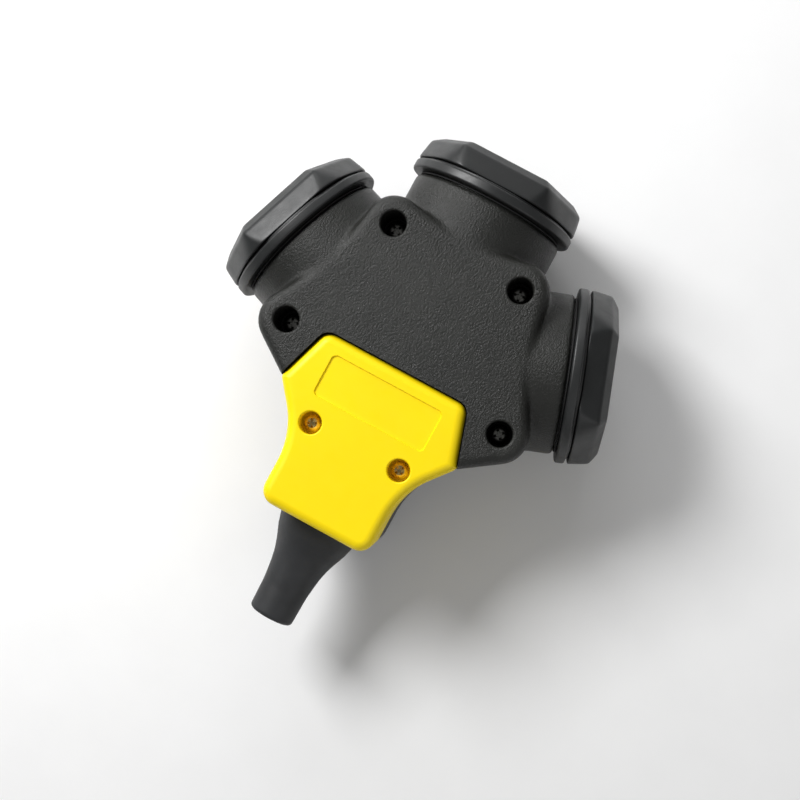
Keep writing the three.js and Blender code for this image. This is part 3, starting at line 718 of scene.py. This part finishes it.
def rear_shell(settings):
    """The rear housing: the tub of hub and handle, the lower halves of the barrels, posts and holes."""
    split = AXIS - GAP / 2
    stop = split + BLEND_MARGIN
    plates = [slab(outline, REAR, stop, bottom=settings.edge_round, steps=8)
              for outline in (hub_outline, handle_outline)]
    outer = outer_skin(settings, plates, REAR - MM, stop)
    hollow = inner_space(REAR + WALL, stop + MM, hub_outline, handle_outline)
    base = REAR + WALL / 2
    columns = [post(COLUMN_RADIUS, base, stop, *xy) for xy in BOSSES]
    clamp = [middle(f"clamp_screw_{i}").xy for i in (1, 2)]
    seats = [post(4.2 * MM, base, COVER_SEAT - WALL - GAP, *xy) for xy in COVER_SCREWS]
    seats += [post(4 * MM, base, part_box("cable_clamp")[0].z - GAP, *xy) for xy in clamp]
    low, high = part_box("terminal_block")
    pedestal = block((low.x + 5 * MM, high.x - 5 * MM), (low.y, high.y), (base, low.z - GAP))
    bosses = joined([*columns, pedestal, *ribs()])
    shafts = [post(HOUSING_SHANK, AXIS - 18 * MM, stop + MM, *xy) for xy in BOSSES]
    shafts += [post(COVER_SHANK, AXIS - 12 * MM, FRONT, *xy) for xy in COVER_SCREWS]
    shafts += [post(CLAMP_SHANK, AXIS - 12 * MM, FRONT, *xy) for xy in clamp]
    panel = slab(rear_panel_outline, REAR - MM, REAR + settings.panel_depth)
    return carved(
        outer,
        ("DIFFERENCE", hollow),
        ("UNION", bosses),
        ("DIFFERENCE", half_space(split, FAR)),
        ("UNION", joined(seats)),
        ("DIFFERENCE", united(sleeve_mouth(), joined(shafts), panel)),
    )


class SOCKETBOX_OT_housing(bpy.types.Operator):
    """Build the front and rear housing shells"""
    bl_idname = "socketbox.housing"
    bl_label = "Housing"

    def execute(self, context):
        settings = context.scene.socketbox_housing
        black = grained_plastic("housing_black", tuple(settings.colour), settings.gloss,
                                settings.grain, settings.grain_depth)
        add_piece(front_shell(settings), "front_housing", black)
        add_piece(rear_shell(settings), "rear_housing", black)
        return {"FINISHED"}


# ------------------------------------------------------------------ cover and sleeve


def cover_shell(settings):
    """The cable cover: a rounded cap, a blank panel, two wells and ways in for the sleeve and bars."""
    outer = slab(handle_outline, AXIS + GAP / 2, FRONT, top=settings.edge_round, steps=10)
    hollow = slab(lambda grow: handle_outline(grow - WALL), AXIS - MM, FRONT - WALL)
    tubes = joined([post(5.8 * MM, COVER_SEAT - WALL, FRONT - WALL / 2, *xy) for xy in COVER_SCREWS])
    wells = joined([well(4 * MM, COVER_SEAT, FRONT, settings.well_lip, *xy) for xy in COVER_SCREWS])
    holes = joined([post(COVER_SHANK, COVER_SEAT - WALL - MM, COVER_SEAT + MM, *xy) for xy in COVER_SCREWS])
    soft = 0.55 * MM
    panel = slab(lambda grow: label_outline(grow - soft), FRONT - settings.label_depth, FRONT + MM)
    for v in panel.verts:
        if v.co.z > FRONT:
            out = Vector((v.co.x, v.co.y - LABEL_Y, 0)).normalized()
            v.co += out * soft * 2
    back_wall = (COVER_TOP - WALL - MM, COVER_TOP + MM)
    passage = block((-18 * MM, 18 * MM), back_wall, (AXIS - MM, BAR_HEIGHT))
    away = [("DIFFERENCE", tool) for tool in (wells, holes, panel, passage, sleeve_mouth())]
    return carved(outer, ("DIFFERENCE", hollow), ("UNION", tubes), *away)


class SOCKETBOX_OT_cover(bpy.types.Operator):
    """Build the cable cover"""
    bl_idname = "socketbox.cover"
    bl_label = "Cable cover"

    def execute(self, context):
        settings = context.scene.socketbox_cover
        yellow = satin_plastic("cover_yellow", tuple(settings.colour), settings.gloss,
                               0.012 * MM, spread=0.03, specular=0.25)
        add_piece(cover_shell(settings), "cable_cover", yellow)
        return {"FINISHED"}


class SOCKETBOX_OT_sleeve(bpy.types.Operator):
    """Build the tapered cable sleeve"""
    bl_idname = "socketbox.sleeve"
    bl_label = "Cable sleeve"

    def execute(self, context):
        root = HANDLE_END - GAP
        run = root - SLEEVE_TIP
        inside = HANDLE_END + WALL + GAP
        corners = [
            (CABLE_RADIUS, SLEEVE_TIP, 0.6 * MM),
            (8.3 * MM, SLEEVE_TIP, 1.6 * MM),
            (8.6 * MM, root - 0.7 * run, 30 * MM),
            (9.9 * MM, root - 0.41 * run, 40 * MM),
            (13.5 * MM, root - 0.175 * run, 8 * MM),
            (15.0 * MM, root - 0.03 * run, 0.4 * MM),
            (15.0 * MM, root, 0.4 * MM),
            (13 * MM, root, 0.1 * MM),
            (13 * MM, inside, 0.1 * MM),
            (16.4 * MM, inside, 0.3 * MM),
            (16.4 * MM, inside + 3 * MM, 0.3 * MM),
            (CABLE_RADIUS, inside + 3 * MM, 0.3 * MM),
        ]
        sleeve = ring_of(corners, 96, fillet=5)
        bmesh.ops.translate(sleeve, verts=sleeve.verts, vec=(0, 0, AXIS))
        rubber = grained_plastic("sleeve_rubber", (0.024, 0.025, 0.027), 0.55, 0.5 * MM, 0.02 * MM)
        add_piece(sleeve, "cable_sleeve", rubber)
        return {"FINISHED"}


# ------------------------------------------------------------------ sockets


def hinge_rod(radius, span, steps=32, rim=0.0):
    """A cylinder along a hinge's pin."""
    return rod(radius, *span, PIN_ALONG, -PIN_DROP, steps=steps, rim=rim)


def pin_bore():
    return hinge_rod(PIN_BORE, (-20 * MM, 20 * MM))


def collar_ring(settings):
    """A collar with its sealing lip, shoulder, spigot and two hinge ears."""
    edge = settings.collar_round
    bore = INSERT_RADIUS + GAP
    ring = ring_of([
        (bore, FLANGE_FACE + GAP, 0.3 * MM),
        (SPIGOT_RADIUS, FLANGE_FACE + GAP, 0.3 * MM),
        (SPIGOT_RADIUS, COLLAR_BACK, 0.1 * MM),
        (COLLAR_RADIUS, COLLAR_BACK, edge),
        (COLLAR_RADIUS, COLLAR_FACE, edge),
        (STEP_RADIUS, COLLAR_FACE, 0.15 * MM),
        (STEP_RADIUS, STEP_FACE, 0.3 * MM),
        (LIP_RADIUS, STEP_FACE, 0.15 * MM),
        (LIP_RADIUS, LIP_FACE, 0.35 * MM),
        (bore, LIP_FACE, 0.35 * MM),
    ], 160)
    ears = []
    for side in (-1, 1):
        span = sorted(side * place for place in COLLAR_KNUCKLE)
        heights = (-PIN_DROP - KNUCKLE_RADIUS, 1.6 * MM - PIN_DROP)
        foot = block(span, (COLLAR_BACK + 0.7 * MM, PIN_ALONG), heights)
        ears.append(united(hinge_rod(KNUCKLE_RADIUS, span, rim=0.25 * MM), foot))
    radius = STEP_RADIUS - 0.2 * MM
    core = turned([(0, -9 * MM), (radius, -9 * MM), (radius, 20 * MM), (0, 20 * MM)], 160)
    lugs = carved(joined(ears), ("DIFFERENCE", core))
    relief = hinge_rod(KNUCKLE_RADIUS + GAP, (-LID_KNUCKLE[1] - GAP, LID_KNUCKLE[1] + GAP))
    return carved(ring, ("DIFFERENCE", relief), ("UNION", lugs), ("DIFFERENCE", pin_bore()))


class SOCKETBOX_OT_collars(bpy.types.Operator):
    """Build the collars and the seals behind them"""
    bl_idname = "socketbox.collars"
    bl_label = "Collars"

    def execute(self, context):
        settings = context.scene.socketbox_socket
        black = satin_plastic("collar_black", tuple(settings.collar_colour), 0.42, 0.02 * MM, spread=0.12)
        rubber = satin_plastic("seal_rubber", (0.008, 0.008, 0.008), 0.8, 0.03 * MM)
        collar = collar_ring(settings)
        low, high = GAP, COLLAR_BACK - GAP
        inner, outer = SPIGOT_RADIUS + GAP, BARREL_RADIUS - MM
        places = [(inner, low), (outer, low), (outer, high), (inner, high)]
        seal = ring_of([(*place, 0.15 * MM) for place in places], 128)
        for side in SIDES:
            place = socket_matrix(side)
            add_piece(copy_of(collar, place), f"collar_{side}", black)
            add_piece(copy_of(seal, place), f"collar_seal_{side}", rubber, name=f"seal_{side}")
        collar.free()
        seal.free()
        return {"FINISHED"}


def soft_least(values, softness):
    """The least of the values, with the changeover between two of them softened."""
    least = min(values)
    return least - softness * math.log(sum(math.exp((least - value) / softness) for value in values))


def lid_ring(along, settings, inset=0.0):
    """A lid's outline at a place along its axis: a round side cut by six flats, with soft ridges."""
    edge = settings.lid_edge
    drop = max(0.0, along - (LID_FACE - edge))
    arc = edge - math.sqrt(max(0.0, edge * edge - drop * drop))
    rise = (LID_FACE - along) * math.tan(math.radians(LID_DRAFT))
    drum = LID_RADIUS - (along - LID_BASE) * math.tan(math.radians(LID_TAPER)) - arc - inset
    front = LID_RADIUS - FRONT_FLAT_INSET + rise - drop - inset
    side = LID_RADIUS - SIDE_FLAT_INSET + rise - drop - inset

    def leans(angle, facings):
        """How squarely a direction meets each of the flats it can reach."""
        every = [math.cos(angle - math.radians(facing)) for facing in facings]
        return [lean for lean in every if lean > 0.2]

    points = []
    for k in range(LID_SIDES):
        angle = 2 * math.pi * k / LID_SIDES
        body = [drum] + [side / lean for lean in leans(angle, (30, 150, 210, 330))]
        crisp = [front / lean for lean in leans(angle, (90, 270))]
        radius = soft_least([soft_least(body, settings.corner), *crisp], settings.ridge)
        points.append(Vector((radius * math.cos(angle), along, radius * math.sin(angle))))
    return points


def lid_shell(settings):
    """A lid: a six-sided drafted crown on a round drum, hollow behind, with two hinge knuckles."""
    edge = settings.lid_edge
    mouth, groove = LIP_RADIUS + SEAM, LIP_RADIUS - GAP
    seat, inside = LIP_FACE + GAP, groove - 3 * MM
    floor, ledge = LID_FACE - 3.5 * MM, seat + GASKET_DEPTH
    soft, rim, ridge = 0.25 * MM, 0.7 * MM, 0.3 * MM
    hollow = [
        (6 * MM, floor), (inside - 2 * soft, floor), (inside - soft / 2, floor - soft / 2),
        (inside, floor - 2 * soft), (inside, ledge + soft), (inside + soft / 2, ledge),
        (groove - soft / 2, ledge), (groove, ledge - soft / 2), (groove, seat + soft / 2),
        (groove + soft / 2, seat), (mouth - soft / 2, seat), (mouth, seat - soft / 2),
        (mouth, LID_BASE + soft), (mouth + soft, LID_BASE),
    ]
    turns = [2 * math.pi * k / LID_SIDES for k in range(LID_SIDES)]
    rings = [[Vector((r * math.cos(t), s, r * math.sin(t))) for t in turns] for r, s in hollow]
    for t in quarter(3):
        rings.append(lid_ring(LID_BASE + rim * (1 - math.cos(t)), settings, inset=rim * (1 - math.sin(t))))
    first, last = LID_BASE + rim, LID_FACE - edge - ridge
    rings += [lid_ring(first + (last - first) * k / 9, settings) for k in range(1, 10)]
    first, last = LID_FACE - edge + ridge, LID_FACE - 0.12 * MM
    rings += [lid_ring(first + (last - first) * k / 9, settings) for k in range(10)]
    rings += [lid_ring(LID_FACE, settings, inset=depth) for depth in (0.15 * MM, 3 * MM, 9 * MM)]
    crown = stacked(rings)
    knuckles = []
    for side in (-1, 1):
        span = sorted(side * place for place in LID_KNUCKLE)
        arm = block(span, (LID_BASE + GAP, PIN_ALONG + 1.8 * MM), (-PIN_DROP, MM - LIP_RADIUS))
        knuckles.append(united(hinge_rod(KNUCKLE_RADIUS, span, rim=0.25 * MM), arm))
    reach = COLLAR_KNUCKLE[1] + GAP
    relief = hinge_rod(KNUCKLE_RADIUS + GAP, (-reach, reach))
    start = LID_BASE - MM
    corners = [(0, start), (mouth, start), (mouth, seat), (groove, seat), (groove, ledge), (0, ledge)]
    room = turned(corners, 144)
    arms = carved(joined(knuckles), ("DIFFERENCE", room))
    return carved(crown, ("DIFFERENCE", relief), ("UNION", arms), ("DIFFERENCE", pin_bore()))


class SOCKETBOX_OT_lids(bpy.types.Operator):
    """Build the lids and their gaskets"""
    bl_idname = "socketbox.lids"
    bl_label = "Lids"

    def execute(self, context):
        settings = context.scene.socketbox_socket
        black = grained_plastic("lid_black", tuple(settings.lid_colour), settings.gloss,
                                0.4 * MM, 0.018 * MM, spread=0.1)
        rubber = satin_plastic("gasket_rubber", (0.012, 0.012, 0.012), 0.7, 0.02 * MM)
        lid = lid_shell(settings)
        outer, back = LIP_RADIUS - 2 * GAP, LIP_FACE + 2 * GAP
        inner, front = outer - 2.4 * MM, back + 1.2 * MM
        gasket = ring_of([(inner, back, 0.35 * MM), (outer, back, 0.35 * MM),
                          (outer, front, 0.2 * MM), (inner, front, 0.2 * MM)], 128)
        for side in SIDES:
            place, body = socket_matrix(side), f"{side}_lid"
            add_piece(copy_of(lid, place), f"lid_{side}", black, body)
            add_piece(copy_of(gasket, place), f"lid_gasket_{side}", rubber, body, f"gasket_{side}")
        lid.free()
        gasket.free()
        return {"FINISHED"}


def spring_coil():
    """A torsion spring round the middle of the hinge pin."""
    wire, turns = 0.275 * MM, 3
    coil = PIN_BORE + wire
    reach = LID_KNUCKLE[0] - GAP - 2 * wire
    bm = bmesh.new()
    made = bmesh.ops.create_circle(bm, cap_ends=True, segments=12, radius=wire)
    place = Matrix.Translation((-reach, PIN_ALONG, -PIN_DROP + coil))
    bmesh.ops.transform(bm, matrix=place @ Matrix.Rotation(math.pi / 2, 4, "X"), verts=made["verts"])
    steps = 24 * turns
    bmesh.ops.spin(bm, geom=bm.verts[:] + bm.edges[:] + bm.faces[:], cent=(0, PIN_ALONG, -PIN_DROP),
                   axis=(-1, 0, 0), dvec=(2 * reach / steps, 0, 0), angle=2 * math.pi * turns,
                   steps=steps, use_merge=False, use_duplicate=False)
    bmesh.ops.holes_fill(bm, edges=bm.edges, sides=0)
    bmesh.ops.recalc_face_normals(bm, faces=bm.faces)
    return bm


class SOCKETBOX_OT_hinges(bpy.types.Operator):
    """Build the hinge pins and springs"""
    bl_idname = "socketbox.hinges"
    bl_label = "Hinges"

    def execute(self, context):
        steel = metal("hinge_steel", (0.62, 0.63, 0.65), 0.28)
        end = COLLAR_KNUCKLE[1] + 0.5 * MM
        pin = hinge_rod(PIN_RADIUS, (-end, end), steps=40, rim=0.35 * MM)
        spring = spring_coil()
        for side in SIDES:
            place = socket_matrix(side)
            add_piece(copy_of(pin, place), f"hinge_pin_{side}", steel)
            add_piece(copy_of(spring, place), f"hinge_spring_{side}", steel)
        pin.free()
        spring.free()
        return {"FINISHED"}


def insert_cup():
    """A socket insert: a recess with two pole holes and two slots for the earth clip."""
    cup = ring_of([
        (0, INSERT_BACK, 0), (INSERT_RADIUS - 4.3 * MM, INSERT_BACK, 0.5 * MM),
        (INSERT_RADIUS, INSERT_BACK + 2.15 * MM, 0.5 * MM), (INSERT_RADIUS, FLANGE_BACK, 0.1 * MM),
        (SPIGOT_RADIUS, FLANGE_BACK, 0.3 * MM), (SPIGOT_RADIUS, FLANGE_FACE, 0.3 * MM),
        (INSERT_RADIUS, FLANGE_FACE, 0.1 * MM), (INSERT_RADIUS, STEP_FACE, 0.5 * MM),
        (RECESS_RADIUS, STEP_FACE, 0.6 * MM), (RECESS_RADIUS, RECESS_FLOOR, 0.6 * MM), (0, RECESS_FLOOR, 0),
    ], 128)
    back, front = INSERT_BACK - MM, RECESS_FLOOR + MM
    radius, lip = 2.6 * MM, 0.5 * MM
    holes = []
    for side in (-1, 1):
        hole = turned([
            (0, back), (radius, back), (radius, RECESS_FLOOR - lip),
            (radius + lip * 0.3, RECESS_FLOOR - lip * 0.3), (radius + lip, RECESS_FLOOR),
            (radius + lip, front), (0, front),
        ], 40)
        bmesh.ops.translate(hole, verts=hole.verts, vec=(side * POLE_OFFSET, 0, 0))
        holes.append(hole)
    reach = 0.7 * MM
    slots = [block((-3.3 * MM, 3.3 * MM), (back, front), (place - reach, place + reach))
             for place in (-CLIP_OFFSET, CLIP_OFFSET)]
    return carved(cup, ("DIFFERENCE", joined(holes)), ("DIFFERENCE", joined(slots)))


def earth_strip():
    """The earth clip: a strip behind the insert with a springy leg through it on either side."""
    thick, tip = 0.8 * MM, RECESS_FLOOR + 13 * MM
    back = INSERT_BACK - GAP - thick
    outer = CLIP_OFFSET + thick / 2
    width = (-3 * MM, 3 * MM)
    legs = [block(width, (back, tip), sorted((side * outer, side * (outer - thick)))) for side in (-1, 1)]
    strip = united(block(width, (back, back + thick), (-outer, outer)), *legs)
    corners = [e for e in strip.edges if abs(e.verts[0].co.x - e.verts[1].co.x) > MM
               and e.is_manifold and e.calc_face_angle() > 1]
    bevelled(strip, corners, 0.25 * MM)
    return strip


class SOCKETBOX_OT_inserts(bpy.types.Operator):
    """Build the socket inserts and earth clips, and finish the contacts"""
    bl_idname = "socketbox.inserts"
    bl_label = "Socket inserts"

    def execute(self, context):
        settings = context.scene.socketbox_socket
        grey = satin_plastic("insert_grey", tuple(settings.insert_colour), 0.45, 0.02 * MM, spread=0.1)
        steel = metal("clip_steel", (0.66, 0.66, 0.65), 0.25)
        brass = metal("contact_brass", (0.72, 0.52, 0.2), 0.3)
        cup, strip = insert_cup(), earth_strip()
        for side in SIDES:
            place = socket_matrix(side)
            add_piece(copy_of(cup, place), f"socket_insert_{side}", grey, name=f"insert_{side}")
            add_piece(copy_of(strip, place), f"earth_clip_{side}", steel)
            paint([f"live_contact_{side}", f"neutral_contact_{side}"], brass)
        cup.free()
        strip.free()
        return {"FINISHED"}


# ------------------------------------------------------------------ screws and wiring


def pan_screw(head, height, shank, top, tip):
    """A pan-head screw along Z at the origin, with a tapered cross recess."""
    seat = top - height
    profile = [
        (0, tip, 0), (shank, tip, shank * 0.5), (shank, seat, 0.05 * MM), (head, seat, height * 0.12),
        (head, seat + height * 0.55, height * 0.35), (head * 0.66, top, head * 0.5), (0, top, 0),
    ]
    body = upright(ring_of(profile, 48, fillet=5), 0, 0)
    deep, wide, reach = height * 0.66, head * 0.16, head * 0.7
    arms = []
    for turn in (0, math.pi / 2):
        arm = block((-reach, reach), (-wide, wide), (top - deep, top + MM))
        floor = [v for v in arm.verts if v.co.z < top]
        bmesh.ops.scale(arm, vec=(0.45, 0.6, 1), verts=floor)
        bmesh.ops.rotate(arm, verts=arm.verts, cent=(0, 0, 0), matrix=Matrix.Rotation(turn, 3, "Z"))
        arms.append(arm)
    return carved(body, ("DIFFERENCE", arms[0]), ("DIFFERENCE", arms[1]))


class SOCKETBOX_OT_screws(bpy.types.Operator):
    """Build the housing and cover screws and finish the inner ones"""
    bl_idname = "socketbox.screws"
    bl_label = "Screws"

    def execute(self, context):
        dark = metal("screw_blackened", (0.24, 0.24, 0.225), 0.27, spread=0.35)
        brass = metal("screw_passivated", (0.74, 0.56, 0.24), 0.28, spread=0.35)
        zinc = metal("screw_zinc", (0.62, 0.63, 0.65), 0.3)
        kinds = [("housing", 4, dark, "blackened_steel", (3.6 * MM, 2.6 * MM, 1.8 * MM)),
                 ("cover", 2, brass, "brass", (3.1 * MM, 2.3 * MM, 1.7 * MM))]
        for kind, count, finish, slot, (head, height, shank) in kinds:
            for i in range(count):
                node = f"{kind}_screw_{i + 1}"
                low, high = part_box(node)
                screw = pan_screw(head, height, shank, high.z, low.z)
                turn = Matrix.Rotation(math.radians(25 + 37 * i), 4, "Z")
                x, y = middle(node).xy
                bmesh.ops.transform(screw, matrix=Matrix.Translation((x, y, 0)) @ turn, verts=screw.verts)
                add_piece(screw, node, finish)
        paint(["clamp_screw_1", "clamp_screw_2"], zinc)
        paint([f"terminal_screw_{i}" for i in (1, 2, 3)], zinc)
        return {"FINISHED"}


class SOCKETBOX_OT_wiring(bpy.types.Operator):
    """Finish the bus bars, the terminal block and the cable clamp"""
    bl_idname = "socketbox.wiring"
    bl_label = "Wiring"

    def execute(self, context):
        paint(["live_bus", "neutral_bus", "earth_bus"], metal("bar_copper", (0.72, 0.38, 0.22), 0.3))
        paint(["terminal_block"], satin_plastic("block_white", (0.78, 0.76, 0.7), 0.45, 0.01 * MM))
        paint(["cable_clamp"], satin_plastic("clamp_grey", (0.05, 0.05, 0.052), 0.5, 0.02 * MM))
        return {"FINISHED"}


# ------------------------------------------------------------------ stage


def area_light(name, place, target, size, power):
    light = bpy.data.lights.new(name, "AREA")
    light.shape = "SQUARE"
    light.size = size
    light.energy = power
    obj = bpy.data.objects.new(name, light)
    obj.location = place
    obj.rotation_euler = (Vector(target) - Vector(place)).to_track_quat("-Z", "Y").to_euler()
    bpy.context.scene.collection.objects.link(obj)


class SOCKETBOX_OT_stage(bpy.types.Operator):
    """Set up the floor, the lights and the camera"""
    bl_idname = "socketbox.stage"
    bl_label = "Stage"

    def execute(self, context):
        settings = context.scene.socketbox_stage
        scene = context.scene
        bm = bmesh.new()
        bmesh.ops.create_grid(bm, x_segments=2, y_segments=2, size=3)
        bmesh.ops.translate(bm, verts=bm.verts, vec=(0, 0, REAR - 0.2 * MM))
        mesh = bpy.data.meshes.new("floor")
        bm.to_mesh(mesh)
        bm.free()
        floor = bpy.data.objects.new("floor", mesh)
        scene.collection.objects.link(floor)
        pale = satin_plastic("floor_pale", tuple(settings.floor_colour), 0.85, 0.01 * MM, spread=0.01)
        mesh.materials.append(pale)
        camera = bpy.data.objects.new("camera", bpy.data.cameras.new("camera"))
        scene.collection.objects.link(camera)
        right = Vector((0.8777, 0.4755, -0.0599))
        back = Vector((0.0669, 0.0021, 0.9978)).normalized()
        up = back.cross(right).normalized()
        turn = Matrix((up.cross(back), up, back)).transposed()
        camera.matrix_world = Matrix.Translation((0.0391, -0.0160, 0.5541)) @ turn.to_4x4()
        camera.data.lens = 64.53
        camera.data.sensor_width = 36
        camera.data.clip_start = 0.01
        scene.camera = camera
        centre = (0, 0, AXIS)
        area_light("key", (-0.51, 0.15, 0.56), centre, 0.3, settings.key_power)
        area_light("edge", (-0.30, 0.62, 0.34), centre, 0.45, settings.edge_power)
        area_light("fill", (0.55, -0.35, 0.55), centre, 0.7, settings.fill_power)
        world = bpy.data.worlds.new("studio")
        scene.world = world
        world.use_nodes = True
        sky = world.node_tree.nodes["Background"]
        sky.inputs["Color"].default_value = (1, 1, 1, 1)
        sky.inputs["Strength"].default_value = settings.sky
        scene.view_settings.view_transform = "Standard"
        return {"FINISHED"}


# ------------------------------------------------------------------ panel and main

OPERATORS = (
    SOCKETBOX_OT_stage,
    SOCKETBOX_OT_housing,
    SOCKETBOX_OT_cover,
    SOCKETBOX_OT_sleeve,
    SOCKETBOX_OT_collars,
    SOCKETBOX_OT_lids,
    SOCKETBOX_OT_hinges,
    SOCKETBOX_OT_inserts,
    SOCKETBOX_OT_screws,
    SOCKETBOX_OT_wiring,
)
GROUPS = {
    "socketbox_housing": HousingSettings,
    "socketbox_cover": CoverSettings,
    "socketbox_socket": SocketSettings,
    "socketbox_stage": StageSettings,
}


class SOCKETBOX_PT_panel(bpy.types.Panel):
    """Sizes, colours and build steps of the socket box"""
    bl_idname = "SOCKETBOX_PT_panel"
    bl_label = "Socket Box"
    bl_space_type = "VIEW_3D"
    bl_region_type = "UI"
    bl_category = "Socket Box"

    def draw(self, context):
        for name, group in GROUPS.items():
            box = self.layout.box()
            for prop in group.__annotations__:
                box.prop(getattr(context.scene, name), prop)
        for operator in OPERATORS:
            self.layout.operator(operator.bl_idname)


def register():
    for group in GROUPS.values():
        bpy.utils.register_class(group)
    for operator in OPERATORS:
        bpy.utils.register_class(operator)
    bpy.utils.register_class(SOCKETBOX_PT_panel)
    for name, group in GROUPS.items():
        setattr(bpy.types.Scene, name, bpy.props.PointerProperty(type=group))


def unregister():
    for name in GROUPS:
        delattr(bpy.types.Scene, name)
    bpy.utils.unregister_class(SOCKETBOX_PT_panel)
    for operator in reversed(OPERATORS):
        bpy.utils.unregister_class(operator)
    for group in reversed(GROUPS.values()):
        bpy.utils.unregister_class(group)


def main():
    register()
    bpy.ops.socketbox.stage()
    bpy.ops.socketbox.housing()
    bpy.ops.socketbox.cover()
    bpy.ops.socketbox.sleeve()
    bpy.ops.socketbox.collars()
    bpy.ops.socketbox.lids()
    bpy.ops.socketbox.hinges()
    bpy.ops.socketbox.inserts()
    bpy.ops.socketbox.screws()
    bpy.ops.socketbox.wiring()


if __name__ == "__main__":
    main()
